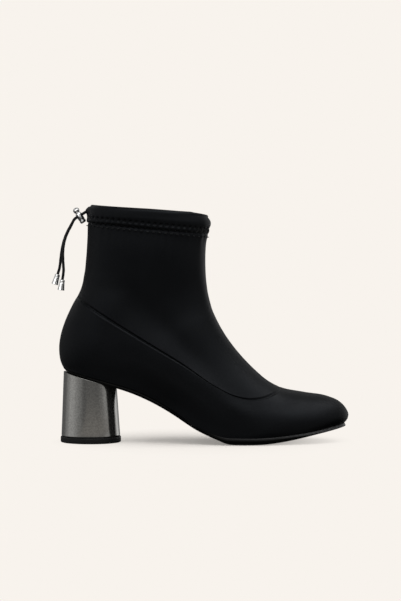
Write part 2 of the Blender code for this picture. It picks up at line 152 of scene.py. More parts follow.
# How far the sole's edge stands out from the upper's lower edge
SOLE_EDGE = (
    # x, out
    (0.0, -0.6),
    (60.0, -0.8),
    (100.0, -0.4),
    (140.0, 1.4),
    (158.0, 1.6),
    (186.0, 2.0),
    (198.0, 1.9),
    (215.0, 1.3),
    (240.0, 0.3),
    (250.0, 0.3),
)

# Sections of the last: start on the back or bottom line, half widths, and where rounding starts
SECTIONS = (
    # x, z, lateral, medial, body, shoulder
    (28.0, 201.0, 33.0, 33.0, 33.0, 0.50),
    (24.0, 172.0, 31.8, 31.8, 31.8, 0.50),
    (21.0, 140.0, 31.0, 31.0, 31.0, 0.48),
    (0.0, 80.0, 28.6, 28.6, 30.2, 0.42),
    (6.0, 60.0, 25.6, 25.6, 30.6, 0.40),
    (50.0, 49.0, 25.6, 25.0, 31.0, 0.36),
    (90.0, 31.0, 24.2, 20.8, 31.6, 0.30),
    (122.0, 12.0, 31.6, 28.0, 34.4, 0.22),
    (160.0, 4.0, 38.0, 37.0, 38.4, 0.12),
    (185.0, 5.0, 38.6, 38.6, 38.8, 0.08),
    (215.0, 10.0, 38.2, 38.2, 38.4, 0.06),
    (246.0, 17.0, 37.0, 37.0, 37.4, 0.06),
)

# How fast the back of the boot rounds from its back line to its full width
BACK_ROUND = (
    # z, length
    (40.0, 28.0),
    (62.0, 28.0),
    (80.0, 33.0),
    (105.0, 40.0),
    (130.0, 48.0),
    (205.0, 50.0),
)

# Soft troughs in the upper, placed on its side view
CREASES = (
    # x, z, angle in degrees, half length, half width, depth
    (133.0, 112.0, 12.0, 20.0, 5.0, 0.15),
    (129.0, 127.0, 6.0, 18.0, 5.0, 0.12),
    (26.0, 134.0, -12.0, 14.0, 4.5, 0.15),
    (30.0, 146.0, -6.0, 14.0, 5.0, 0.10),
    (96.0, 60.0, -30.0, 26.0, 6.5, 0.12),
)

# Soft fullness of the upper's two sides, placed on its side view
FULLNESS = (
    # x, z, angle in degrees, half length, half width, height
    (30.0, 81.0, 0.0, 36.0, 13.0, 0.9),
    (148.0, 32.0, -28.0, 18.0, 7.0, 1.4),
    (196.0, 25.0, -2.0, 36.0, 7.0, 0.7),
)

# Edge of the sole, from the middle of its tread round to its upper face
SOLE_PROFILE = (
    # inset, share of the thickness, lift, share of the edge's rise
    (7.4, 0.0, 0.0, 0.0),
    (7.0, 0.0, 0.35, 0.0),
    (6.0, 0.0, 0.35, 0.0),
    (5.6, 0.0, 0.0, 0.02),
    (4.4, 0.0, 0.0, 0.16),
    (3.2, 0.0, 0.0, 0.44),
    (2.1, 0.0, 0.0, 0.74),
    (1.2, 0.06, 0.0, 0.96),
    (0.6, 0.13, 0.0, 1.0),
    (0.2, 0.21, 0.0, 1.0),
    (0.03, 0.29, 0.0, 1.0),
    (0.0, 0.35, 0.0, 1.0),
    (0.06, 0.50, 0.0, 1.0),
    (0.18, 0.66, 0.0, 1.0),
    (0.34, 0.82, 0.0, 1.0),
    (0.52, 0.94, 0.0, 1.0),
    (0.78, 1.0, 0.0, 1.0),
    (4.0, 1.0, 0.0, 0.0),
)
SOLE_BOTTOM_ROWS = 12
SOLE_WIDEST = 0.35

# Where the sole's edge is bevelled under, at the waist and the heel seat
SOLE_BEVEL = (
    # x, share of the full bevel
    (0.0, 1.0),
    (116.0, 1.0),
    (142.0, 0.0),
    (250.0, 0.0),
)
BEVEL_DEPTH = 1.8

# How the sole's edge changes along the boot
SOLE_SHAPE = (
    # x, rise of the edge, rise of the tread, lean of the upper half, power of the shares
    (0.0, 0.0, 0.0, 1.0, 1.0),
    (98.0, 0.0, 0.0, 0.6, 1.0),
    (112.0, 1.0, 0.6, 0.45, 1.0),
    (125.0, 2.6, 1.9, 0.45, 1.0),
    (134.0, 3.0, 2.0, 0.45, 1.0),
    (141.0, 2.8, 0.8, 0.45, 1.0),
    (148.0, 2.6, 0.0, 0.45, 1.0),
    (156.0, 2.4, 0.0, 0.5, 1.0),
    (172.0, 2.3, 0.0, 0.6, 1.0),
    (197.0, 1.6, 0.0, 1.1, 1.1),
    (214.0, 0.6, 0.0, 1.8, 1.5),
    (228.0, 0.2, 0.0, 2.0, 1.9),
    (250.0, 0.0, 0.0, 2.0, 2.0),
)

INSOLE_INSET = 3.3
INSOLE_PROFILE = (
    # inset, height
    (0.6, 0.0),
    (0.0, 0.35),
    (0.0, 1.3),
    (0.25, 1.75),
    (0.8, 2.0),
    (2.0, 2.15),
    (5.0, 2.2),
)

# Heel block: ends of its oval column, and its rounded edges
HEEL_FLOOR = (2.2, 51.9, 24.2)
HEEL_SEAT = (4.2, 49.0, 24.2)
TOP_PIECE_THICK = 5.0
TOP_PIECE_RIM = 0.7
HEEL_PROFILE = (
    # share of the height, lift, inset
    (0.0, 0.0, 0.7),
    (0.0, 0.08, 0.36),
    (0.0, 0.3, 0.1),
    (0.0, 0.7, 0.0),
    (0.0, 1.1, 0.0),
    (0.2, 0.0, 0.0),
    (0.4, 0.0, 0.0),
    (0.6, 0.0, 0.0),
    (0.8, 0.0, 0.0),
    (1.0, -0.6, 0.0),
    (1.0, -0.2, 0.0),
    (1.0, -0.06, 0.06),
    (1.0, 0.0, 0.2),
)
TOP_PIECE_PROFILE = (
    # share of the height, lift, inset
    (0.0, 0.0, 1.0),
    (0.0, 0.12, 0.5),
    (0.0, 0.45, 0.12),
    (0.0, 0.95, 0.0),
    (1.0, -0.9, 0.0),
    (1.0, -0.4, 0.1),
    (1.0, -0.1, 0.45),
    (1.0, 0.0, 0.95),
)

# Drawcord: lock, tails and bells
LOCK_CENTRE = (17.8, 191.4)
LOCK_LEAN = math.radians(58.0)
LOCK_WIDEN = 1.75
LOCK_PROFILE = (
    # along, radius
    (7.8, 0.0),
    (7.74, 0.55),
    (7.55, 1.1),
    (7.2, 1.7),
    (6.75, 2.2),
    (6.1, 2.6),
    (5.3, 2.76),
    (4.6, 2.68),
    (4.05, 2.45),
    (3.6, 2.15),
    (3.2, 1.95),
    (2.9, 1.92),
    (2.65, 2.1),
    (2.45, 2.35),
    (2.2, 2.52),
    (1.8, 2.62),
    (1.2, 2.68),
    (-3.2, 2.7),
    (-3.42, 2.66),
    (-3.56, 2.5),
    (-3.7, 2.44),
    (-4.3, 2.44),
    (-4.44, 2.5),
    (-4.58, 2.66),
    (-4.8, 2.7),
    (-5.7, 2.64),
    (-6.25, 2.44),
    (-6.58, 2.1),
    (-6.74, 1.7),
    (-6.8, 1.2),
    (-6.8, 0.0),
)
CORD_HOLE = 3.0
CORD_SPREAD = 2.3
TAIL_START = 7.3
TAIL_LEAVES = 4.5
HOLE_LENGTH = 14.0
BELL_AIM_SHARE = 0.97
TAIL_ROUTES = {
    # x, y, z of each tail's points below the lock
    "near": (
        (10.8, -2.3, 183.2),
        (7.3, -2.5, 176.4),
        (5.0, -2.9, 169.4),
        (4.0, -3.4, 162.4),
        (4.0, -3.9, 153.6),
        (4.4, -4.2, 145.2),
        (3.3, -4.4, 136.4),
    ),
    "far": (
        (10.4, 2.3, 183.4),
        (6.8, 2.4, 176.6),
        (4.2, 2.5, 169.6),
        (2.6, 2.6, 162.4),
        (1.6, 2.7, 155.0),
        (0.7, 2.8, 147.8),
        (-1.2, 2.9, 140.9),
    ),
}
BELL_SOCKET = 0.9
BELL_PROFILE = (
    # along, radius
    (0.9, 0.0),
    (0.9, 1.42),
    (1.0, 1.5),
    (2.08, 1.5),
    (2.2, 1.58),
    (2.24, 1.75),
    (2.18, 1.95),
    (2.0, 2.1),
    (1.6, 2.18),
    (0.6, 2.22),
    (0.45, 2.1),
    (0.2, 2.1),
    (0.05, 2.24),
    (-1.5, 2.34),
    (-3.2, 2.5),
    (-5.0, 2.72),
    (-5.9, 2.86),
    (-6.3, 2.9),
    (-6.54, 2.84),
    (-6.6, 2.7),
    (-6.58, 2.4),
    (-6.4, 2.22),
    (-4.5, 1.95),
    (-2.8, 1.72),
    (-2.6, 1.6),
    (-2.6, 0.0),
)

# Camera, at the photograph's viewing angle
IMAGE_HEIGHT = 601
PIXEL = 0.000847
CAMERA_PLACE = (-0.00303, -2.1, 0.2003)
CAMERA_AIM = (-0.00303, 0.0, 0.11973)
SENSOR = 36.0


# Settings a user would change

def length_setting(name, description, default):
    """A length, in metres."""
    return FloatProperty(
        name=name, description=description, default=default, unit="LENGTH", subtype="DISTANCE")


def colour_setting(name, description, default):
    """A colour."""
    return FloatVectorProperty(name=name, description=description, default=default, subtype="COLOR")


def light_setting(name, description, default):
    """The strength of a light."""
    return FloatProperty(name=name, description=description, default=default)


class BootUpperSettings(bpy.types.PropertyGroup):
    """Sizes and colours of the upper."""
    wall: length_setting("Wall", "Thickness of the lined fabric", 0.002)
    hem_proud: length_setting("Hem proud", "How far the hem stands out from the shaft", 0.0012)
    seam_proud: length_setting(
        "Seam proud", "How far the lower panel stands out from the shaft", 0.0005)
    seam_depth: length_setting("Seam depth", "Depth of the groove between the two panels", 0.0015)
    stitches: IntProperty(name="Stitches", description="Zigzag stitches round the hem", default=52)
    stitch_rise: length_setting(
        "Stitch rise", "How far the zigzag reaches up from the hem's edge", 0.0040)
    thread: length_setting("Thread", "Thickness of the hem's thread", 0.00068)
    fabric: colour_setting("Fabric", "Colour of the stretch fabric", (0.0030, 0.0033, 0.0037))
    lining: colour_setting("Lining", "Colour of the lining", (0.008, 0.008, 0.0088))
    thread_colour: colour_setting(
        "Thread colour", "Colour of the hem's thread", (0.0058, 0.0061, 0.0067))


class BootSoleSettings(bpy.types.PropertyGroup):
    """Colours of the sole and footbed."""
    # Painted highlight: the lighter colour that the sole's edge takes towards the toe, for the light
    # that its chamfer reflects there
    toe_highlight: colour_setting(
        "Worn edge", "Colour of the sole's edge where the toe is scuffed", (0.098, 0.100, 0.103))
    edge: colour_setting("Edge", "Colour of the sole's polished edge", (0.005, 0.005, 0.0053))
    tread: colour_setting("Tread", "Colour of the sole's underside", (0.004, 0.004, 0.004))
    footbed: colour_setting("Footbed", "Colour of the footbed's cover", (0.012, 0.0113, 0.0113))
    footbed_fill: FloatProperty(
        name="Footbed fill", description="How full the footbed's padding is",
        default=0.8, min=0.0, max=1.0, subtype="FACTOR")


class BootHeelSettings(bpy.types.PropertyGroup):
    """Colours of the heel."""
    metal: colour_setting("Metal", "Colour of the heel's metal finish", (0.402, 0.396, 0.377))
    grain: colour_setting("Grain", "Colour of the finish's darker grain", (0.292, 0.287, 0.272))
    rubber: colour_setting("Rubber", "Colour of the top piece", (0.007, 0.007, 0.007))


class BootCordSettings(bpy.types.PropertyGroup):
    """Sizes and colours of the drawcord."""
    diameter: length_setting("Diameter", "Diameter of the drawcord", 0.0024)
    braid: length_setting("Braid", "Height of the braid's strands", 0.00006)
    cord: colour_setting("Cord", "Colour of the braid", (0.006, 0.006, 0.0066))
    metal: colour_setting("Metal", "Colour of the lock and bells", (0.86, 0.86, 0.85))


class BootStageSettings(bpy.types.PropertyGroup):
    """Backdrop and light."""
    backdrop: colour_setting(
        "Backdrop", "Colour of the backdrop and floor", (0.9387, 0.8963, 0.8469))
    low_light: light_setting("Low light", "Strength of the light round the horizon", 1.48)
    mid_light: light_setting("Middle light", "Strength of the light above the horizon", 0.81)
    high_light: light_setting("High light", "Strength of the soft light from above", 3.06)
    fill: light_setting("Fill", "Strength of the light from everywhere", 0.063)
    metal_light: FloatProperty(
        name="Metal light", description="Power of the white panel that the lock and bells reflect",
        default=25.0, unit="POWER")


# Curves through rows of a table

def columns(rows):
    """The table's number columns as arrays."""
    return [np.array(column, float) for column in zip(*rows)]


def hermite(knots, values, slopes, at):
    """Cubic curve with the given values and slopes at its knots."""
    at = np.clip(at, knots[0], knots[-1])
    i = np.clip(np.searchsorted(knots, at) - 1, 0, len(knots) - 2)
    width = knots[i + 1] - knots[i]
    u = (at - knots[i]) / width
    start = values[i] * (1 + 2 * u) * (1 - u) ** 2 + slopes[i] * width * u * (1 - u) ** 2
    end = values[i + 1] * u ** 2 * (3 - 2 * u) + slopes[i + 1] * width * u ** 2 * (u - 1)
    return start + end


def through(knots, values, at):
    """Smooth curve through the values at the knots."""
    return hermite(knots, values, np.gradient(values, knots), np.asarray(at, float))


def chord_lengths(points):
    """Distance along a row of points, from 0 to 1."""
    steps = np.linalg.norm(np.diff(points, axis=0), axis=1)
    return np.concatenate(([0.0], np.cumsum(steps))) / steps.sum()


def line_through(rows, at):
    """Smooth line through the rows, at shares of its length."""
    points = np.array(rows, float)
    knots = chord_lengths(points)
    return np.stack([through(knots, column, at) for column in points.T], axis=-1)


def ease(u):
    """Smooth step from 0 to 1."""
    u = np.clip(u, 0.0, 1.0)
    return u * u * (3 - 2 * u)


def bell(distance, width):
    """Soft hump, 1 at its middle."""
    return np.exp(-(distance / width) ** 2)


def round_off(u, power):
    """Rises from 0 to 1 like the quarter of a rounded outline."""
    return (1 - (1 - np.clip(u, 0.0, 1.0)) ** power) ** (1 / power)


# Side view of the last

def sole_bottom(x):
    """Height of the sole's underside."""
    knots, heights, slopes, _ = columns(SOLE_LINE)
    return hermite(knots, heights, slopes, np.asarray(x, float))


def sole_thickness(x):
    """Thickness of the sole."""
    knots, _, _, thickness = columns(SOLE_LINE)
    return np.interp(x, knots, thickness)


def sole_top(x):
    """Height of the sole's upper face."""
    return sole_bottom(x) + sole_thickness(x)


def back_x(z):
    """The back line's x at a height."""
    x, heights = columns(BACK_LINE)
    return through(heights, x, z)


def toe_x(z):
    """The toe's foremost x at a height, tucked in under its widest level."""
    under = np.clip((TOE_TIP[1] - z) / (TOE_TIP[1] - FRONT_LINE[0][1]), 0.0, TOE_TUCK_MOST)
    return TOE_TIP[0] - (TOE_TIP[0] - FRONT_LINE[0][0]) * under ** 2


def fan(x, z):
    """A point's station along the fan of sections, and its distance from the fan's pivot."""
    quarter = math.pi / 2 * FAN_ARM
    behind = PIVOT_X - x
    below = PIVOT_Z - z
    turned = np.arctan2(np.maximum(below, 0.0), np.maximum(behind, 0.0)) * FAN_ARM
    station = np.where(below <= 0.0, below, np.where(behind <= 0.0, quarter - behind, turned))
    reach = np.where(below <= 0.0, behind, np.where(behind <= 0.0, below, np.hypot(behind, below)))
    return station, reach


def reach_table(line):
    """Stations and distances of a line of the side view, sorted by station."""
    station, reach = fan(line[:, 0], line[:, 1])
    order = np.argsort(station)
    return station[order], reach[order]


SHARES = np.linspace(0.0, 1.0, LINE_SAMPLES)
FRONT_POINTS = line_through(FRONT_LINE, SHARES)
TOE_TIP = FRONT_POINTS[FRONT_POINTS[:, 0].argmax()]
FRONT_REACH = reach_table(FRONT_POINTS[FRONT_POINTS[:, 1] >= TOE_TIP[1]])
SECTION_STATIONS = fan(*columns([row[:2] for row in SECTIONS]))
SECTION_SIZES = columns([row[2:] for row in SECTIONS])


def half_width(x, z, side):
    """Half width of the upper at a point of its side view; side is -1 lateral or 1 medial."""
    station, reach = fan(x, z)
    lateral, medial, body, shoulder = [
        through(SECTION_STATIONS[0], size, station) for size in SECTION_SIZES]
    start = through(SECTION_STATIONS[0], SECTION_STATIONS[1], station)
    end = np.interp(station, *FRONT_REACH)
    height = np.clip((start - reach) / (start - end), 0.0, 1.0)
    foot = lateral if side < 0 else medial
    width = foot + (body - foot) * ease(height / BODY_SHARE)
    ridge = np.clip((height - shoulder) / (1 - shoulder), 0.0, 1.0)
    width = width * (1 - ridge ** RIDGE_POWER) ** (1 / RIDGE_POWER)
    heights, lengths = columns(BACK_ROUND)
    width = width * round_off((x - back_x(z)) / np.interp(z, heights, lengths), BACK_POWER)
    return width * round_off((toe_x(z) - x) / TOE_ROUND, TOE_POWER)


def middle_y(x):
    """The last's middle line in plan, which swings medially towards the toe."""
    toe = TOE_SWING * ease((x - TOE_SWING_FROM) / TOE_SWING_LENGTH)
    waist = ease((x - WAIST_FROM) / WAIST_EASE) * ease((WAIST_TO - x) / WAIST_EASE)
    return toe - WAIST_SHIFT * waist


# Panels of the upper

def patch(lower, upper, back, front, level, share):
    """Points of the side view between four border lines."""
    borders = (1 - level) * lower(share) + level * upper(share)
    rails = (1 - share)[:, None] * back(level) + share[:, None] * front(level)
    low_chord = (1 - share)[:, None] * lower(np.zeros(1)) + share[:, None] * lower(np.ones(1))
    high_chord = (1 - share)[:, None] * upper(np.zeros(1)) + share[:, None] * upper(np.ones(1))
    return borders + rails - (1 - level) * low_chord - level * high_chord


def feather_line(share):
    """The upper's lower edge, just clear of the sole."""
    x = BACK_LINE[0][0] + (FRONT_LINE[0][0] - BACK_LINE[0][0]) * share
    return np.stack([x, sole_top(x) + FIT], axis=-1)


def seam_line(share):
    """The seam between the two panels."""
    return line_through(SEAM_LINE, share)


def rail(rows, start, end):
    """A border line that follows part of a table's line, between two shares of its length."""
    return lambda level: line_through(rows, start + (end - start) * np.atleast_1d(level))


def share_at(rows, height):
    """Share of a rising line's length at which it reaches a height."""
    return float(np.interp(height, line_through(rows, SHARES)[:, 1], SHARES))


def straight(start, end):
    """A border line straight across the shaft."""
    return lambda share: np.outer(1 - share, start) + np.outer(share, end)


def collar_line(share):
    """The collar's edge, bowed up between the back and the front."""
    edge = straight(np.array(BACK_LINE[-1]), np.array(FRONT_LINE[-1]))(share)
    edge[:, 1] += COLLAR_BOW * (share - share ** COLLAR_BOW_POWER)
    return edge


BACK_SEAM = share_at(BACK_LINE, SEAM_LINE[0][1])
FRONT_SEAM = share_at(FRONT_LINE, SEAM_LINE[-1][1])
BACK_HEM = share_at(BACK_LINE, BACK_LINE[-1][1] - HEM_HEIGHT)
FRONT_HEM = share_at(FRONT_LINE, FRONT_LINE[-1][1] - HEM_HEIGHT + HEM_FRONT_DROP)
HEM_LINE = straight(line_through(BACK_LINE, BACK_HEM), line_through(FRONT_LINE, FRONT_HEM))
PANELS = {
    # lower border, upper border, back rail, front rail
    "lower": (
        feather_line,
        seam_line,
        rail(BACK_LINE, 0.0, BACK_SEAM),
        rail(FRONT_LINE, 0.0, FRONT_SEAM),
    ),
    "shaft": (
        seam_line,
        HEM_LINE,
        rail(BACK_LINE, BACK_SEAM, BACK_HEM),
        rail(FRONT_LINE, FRONT_SEAM, FRONT_HEM),
    ),
    "hem": (
        HEM_LINE,
        collar_line,
        rail(BACK_LINE, BACK_HEM, 1.0),
        rail(FRONT_LINE, FRONT_HEM, 1.0),
    ),
}


def last_loop(panel, level, count):
    """One closed loop on the last's surface, its points evenly spaced along each side."""
    share = (1 - np.cos(np.linspace(0.0, math.pi, LOOP_SAMPLES))) / 2
    x, z = patch(*PANELS[panel], level, share).T
    halves = []
    for side in (-1, 1):
        line = np.stack([x, middle_y(x) + side * half_width(x, z, side), z], axis=-1)
        at = np.linspace(0.0, 1.0, count // 2 + 1)
        lengths = chord_lengths(line)
        halves.append(np.stack([np.interp(at, lengths, column) for column in line.T], axis=-1))
    return np.concatenate([halves[0], halves[1][-2:0:-1]])


def plan_loop(inset, count):
    """The upper's lower edge in plan, moved in by a distance for each point."""
    loop = last_loop("lower", 0.0, count)[:, :2]
    along = np.roll(loop, -1, axis=0) - np.roll(loop, 1, axis=0)
    out = np.stack([along[:, 1], -along[:, 0]], axis=-1)
    out /= np.linalg.norm(out, axis=1, keepdims=True)
    return loop - out * np.broadcast_to(inset, len(loop))[:, None]


# Meshes

def to_frame(points):
    """Points of the last in millimetres, as places in the boot's frame in metres."""
    return (np.asarray(points, float) - np.array(BOOT_CENTRE)) * MM


def ring_faces(rows, count, closed=False):
    """Quads between rings of equal count, ring after ring; closed joins the last to the first."""
    ring = np.arange(count)
    after = np.roll(ring, -1)
    faces = []
    for low in range(rows if closed else rows - 1):
        high = (low + 1) % rows
        quads = (low * count + ring, low * count + after, high * count + after, high * count + ring)
        faces.append(np.stack(quads, axis=-1))
    return np.concatenate(faces)


def across_faces(first, count):
    """Strips that close a ring straight from its lateral to its medial side."""
    half = count // 2
    faces = [(first, first + 1, first + count - 1)]
    for i in range(1, half - 1):
        faces.append((first + i, first + i + 1, first + count - i - 1, first + count - i))
    faces.append((first + half - 1, first + half, first + half + 1))
    return faces


def slab_faces(rows, count):
    """Quads between rings, then strips straight across the first ring and the last."""
    faces = [tuple(face) for face in ring_faces(rows, count)]
    return faces + across_faces(0, count) + across_faces((rows - 1) * count, count)


def tube_faces(rows, count):
    """Quads between rings, then one face across the first ring and the last."""
    faces = [tuple(face) for face in ring_faces(rows, count)]
    return faces + [tuple(range(first, first + count)) for first in (0, (rows - 1) * count)]


def new_mesh(name, places, faces):
    """A smooth mesh from places in metres and faces."""
    mesh = bpy.data.meshes.new(name)
    mesh.from_pydata([tuple(p) for p in places], [], [tuple(int(i) for i in f) for f in faces])
    mesh.update()
    mesh.shade_smooth()
    return mesh


def outward(mesh):
    """Turns a closed mesh's faces outwards."""
    bm = bmesh.new()
    bm.from_mesh(mesh)
    bmesh.ops.recalc_face_normals(bm, faces=bm.faces)
    bm.to_mesh(mesh)
    bm.free()
    return mesh


def closed_mesh(name, places, faces, smooth_angle):
    """A closed mesh, its faces outwards, shaded smooth up to an angle."""
    mesh = outward(new_mesh(name, places, faces))
    mesh.set_sharp_from_angle(angle=smooth_angle)
    return mesh


def add_object(name, data):
    """An object of the scene, with its data."""
    made = bpy.data.objects.new(name, data)
    bpy.context.scene.collection.objects.link(made)
    return made


def add_piece(name, mesh, materials, slot, *nodes):
    """A piece of the boot that stands for CAD nodes, with the given materials; the slot is not used.
    """
    piece = add_object(name, mesh)
    for material in materials:
        mesh.materials.append(material)
    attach(piece, ROOT)
    if nodes:
        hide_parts(*nodes)
    return piece


def evaluated_mesh(holder, name):
    """The plain mesh that an object's modifiers make, and the object removed."""
    depsgraph = bpy.context.evaluated_depsgraph_get()
    mesh = bpy.data.meshes.new_from_object(holder.evaluated_get(depsgraph), depsgraph=depsgraph)
    mesh.name = name
    holder.modifiers.clear()
    bpy.data.objects.remove(holder)
    return mesh


def turned_mesh(name, profile, sides):
    """A turned solid about its own Z axis, from rows of place along the axis and radius."""
    along, radius = np.array(profile).T * MM
    turn = np.arange(sides) * 2 * math.pi / sides
    middle = slice(1, -1)
    rings = np.stack([
        np.outer(radius[middle], np.cos(turn)),
        np.outer(radius[middle], np.sin(turn)),
        np.outer(along[middle], np.ones(sides))], axis=-1)
    places = list(rings.reshape(-1, 3)) + [(0.0, 0.0, along[0]), (0.0, 0.0, along[-1])]
    rows = len(profile) - 2
    faces = [tuple(face) for face in ring_faces(rows, sides)]
    ring = np.arange(sides)
    last = (rows - 1) * sides
    faces += [(rows * sides, j, i) for i, j in zip(ring, np.roll(ring, -1))]
    faces += [(rows * sides + 1, last + i, last + j) for i, j in zip(ring, np.roll(ring, -1))]
    return outward(new_mesh(name, places, faces))


def aim(along, centre):
    """Matrix that stands Z along a direction, at a place on the last."""
    along = Vector(along)
    across = Vector((0.0, 1.0, 0.0)).cross(along).normalized()
    turn = Matrix((across, along.cross(across), along)).transposed().to_4x4()
    return Matrix.Translation(Vector(to_frame(centre))) @ turn


# Materials

# A wave texture's radians for each metre at a scale of 1, and the sockets of a colour mix
WAVE_RADIANS = 20.0
MIX_FACTOR = 0
MIX_FIRST = 6
MIX_SECOND = 7
MIX_RESULT = 2


class Nodes:
    """A node tree in the making."""

    def __init__(self, tree):
        self.tree = tree

    def node(self, kind, inputs=None, **settings):
        """A node with its settings, and its inputs set or linked."""
        made = self.tree.nodes.new(kind)
        for name, value in settings.items():
            setattr(made, name, value)
        for name, value in (inputs or {}).items():
            if isinstance(value, bpy.types.NodeSocket):
                self.tree.links.new(value, made.inputs[name])
            else:
                made.inputs[name].default_value = value
        return made

    def math(self, operation, *values):
        """Result of a sum on the values."""
        return self.node("ShaderNodeMath", dict(enumerate(values)), operation=operation).outputs[0]

    def spread(self, value, low, high, to_low, to_high, curve="LINEAR"):
        """A value's range moved to another."""
        inputs = {
            "Value": value, "From Min": low, "From Max": high, "To Min": to_low, "To Max": to_high}
        return self.node("ShaderNodeMapRange", inputs, interpolation_type=curve).outputs["Result"]

    def split(self, vector):
        """A vector's X, Y and Z."""
        return self.node("ShaderNodeSeparateXYZ", {0: vector}).outputs

    def mix(self, share, first, second):
        """A shader between two shaders."""
        inputs = {0: share, 1: first.outputs[0], 2: second.outputs[0]}
        return self.node("ShaderNodeMixShader", inputs)


class Finish(Nodes):
    """A procedural material in the making, on its Principled shader."""

    def __init__(self, name, sockets):
        self.material = bpy.data.materials.new(name)
        self.material.use_nodes = True
        super().__init__(self.material.node_tree)
        self.shader = self.tree.nodes["Principled BSDF"]
        for socket, value in sockets.items():
            self.shader.inputs[socket].default_value = value
        self.object_coords = self.node("ShaderNodeTexCoord").outputs["Object"]

    def noise(self, scale, detail):
        """Noise with cells of 1 / scale metres."""
        inputs = {"Vector": self.object_coords, "Scale": scale, "Detail": detail}
        return self.node("ShaderNodeTexNoise", inputs).outputs["Fac"]

    def cells(self, scale):
        """Distance from the middles of cells of 1 / scale metres."""
        inputs = {"Vector": self.object_coords, "Scale": scale}
        return self.node("ShaderNodeTexVoronoi", inputs).outputs["Distance"]

    def waves(self, direction, period, coords, distortion):
        """Even waves across the coordinates, of a period in metres."""
        scale = 2 * math.pi / (WAVE_RADIANS * period)
        inputs = {"Vector": coords, "Scale": scale, "Distortion": distortion}
        return self.node(
            "ShaderNodeTexWave", inputs, wave_type="BANDS", bands_direction=direction).outputs["Fac"]

    def uv(self, name):
        """The piece's own UV map, in metres."""
        return self.node("ShaderNodeUVMap", uv_map=name).outputs["UV"]

    def blend(self, factor, first, second):
        """Colour between two colours."""
        mix = self.node("ShaderNodeMix", data_type="RGBA")
        self.tree.links.new(factor, mix.inputs[MIX_FACTOR])
        mix.inputs[MIX_FIRST].default_value = (*first, 1.0)
        mix.inputs[MIX_SECOND].default_value = (*second, 1.0)
        return mix.outputs[MIX_RESULT]

    def bump(self, height, strength, distance, under=None):
        """Relief from a height, on top of the relief under it."""
        inputs = {"Height": height, "Strength": strength, "Distance": distance}
        if under:
            inputs["Normal"] = under
        return self.node("ShaderNodeBump", inputs).outputs["Normal"]

    def set(self, **sockets):
        """Links the shader's inputs and gives the material."""
        for name, value in sockets.items():
            self.tree.links.new(value, self.shader.inputs[name.replace("_", " ")])
        return self.material


# Noises are scale and detail, shades and roughness are least and most, reliefs strength and depth
NOISE_RANGE = (0.3, 0.7)
FABRIC_TINT = (0.84, 0.90, 1.0, 1.0)
KNIT_WALE = 0.0011
KNIT_COURSE = 0.0008
KNIT_WANDER = 0.4
KNIT_RELIEF = (0.25, 0.00012)
FUZZ_NOISE = (2600.0, 2.0)
FUZZ_RELIEF = (0.2, 0.00015)
MOTTLE_NOISE = (70.0, 4.0)
MOTTLE_SHADES = (0.86, 1.14)
FABRIC_ROUGH = (0.40, 0.47)
EDGE_NOISE = (420.0, 4.0)
EDGE_ROUGH = (0.24, 0.36)
EDGE_RELIEF = (0.08, 0.0002)
# Where the painted highlight on the sole's edge grows, in metres towards the toe
TOE_HIGHLIGHT_SPAN = (0.06, 0.105)
PEARL_NOISE = (1500.0, 2.0)
CLOUD_NOISE = (700.0, 3.0)
SPECK_RANGE = (0.82, 1.18)
HEEL_ROUGH = (0.10, 0.15)
HEEL_RELIEF = (0.12, 0.00012)
MARKS_NOISE = (320.0, 4.0)
MARKS_RANGE = (0.3, 0.75)
MARKS_SHADES = (0.93, 1.0)
MARKS_ROUGH = (0.07, 0.16)
MARKS_RELIEF = (0.02, 0.0002)

# Finishes whose one noise varies their colour and roughness
GRAINED = {
    # shader inputs; noise; shades; roughness; scale of the relief's cells (0 is the noise), relief
    "lining": (
        {"Specular IOR Level": 0.2, "Sheen Weight": 0.15},
        (900.0, 4.0), (0.7, 1.3), (0.82, 0.95), (0.0, 0.4, 0.0003)),
    "sewing_thread": (
        {"Specular IOR Level": 0.28},
        (4200.0, 1.0), (0.7, 1.4), (0.38, 0.5), (0.0, 0.3, 0.0001)),
    "sole_tread": (
        {"Specular IOR Level": 0.08},
        (45.0, 5.0), (0.75, 1.5), (0.5, 0.68), (900.0, 0.35, 0.0003)),
    "footbed_cover": (
        {"Specular IOR Level": 0.3},
        (30.0, 3.0), (0.8, 1.3), (0.55, 0.7), (650.0, 0.3, 0.0003)),
    "top_piece_rubber": (
        {"Specular IOR Level": 0.22},
        (800.0, 4.0), (0.7, 1.5), (0.5, 0.7), (0.0, 0.25, 0.0003)),
    "cord_braid": (
        {"Specular IOR Level": 0.22, "Sheen Weight": 0.06},
        (3800.0, 2.0), (0.6, 1.5), (0.45, 0.6), (0.0, 0.3, 0.0001)),
}


def shaded(colour, shades):
    """A colour at its darkest and its lightest."""
    return [tuple(min(1.0, channel * shade) for channel in colour) for shade in shades]


def grained_finish(name, colour):
    """A finish of the table, such as rubber, thread or lining, in a colour."""
    sockets, noise, shades, roughness, (cells, *relief) = GRAINED[name]
    finish = Finish(name, sockets)
    grain = finish.noise(*noise)
    tone = finish.blend(grain, *shaded(colour, shades))
    rough = finish.spread(grain, *NOISE_RANGE, *roughness)
    raised = finish.cells(cells) if cells else grain
    return finish.set(Base_Color=tone, Roughness=rough, Normal=finish.bump(raised, *relief))


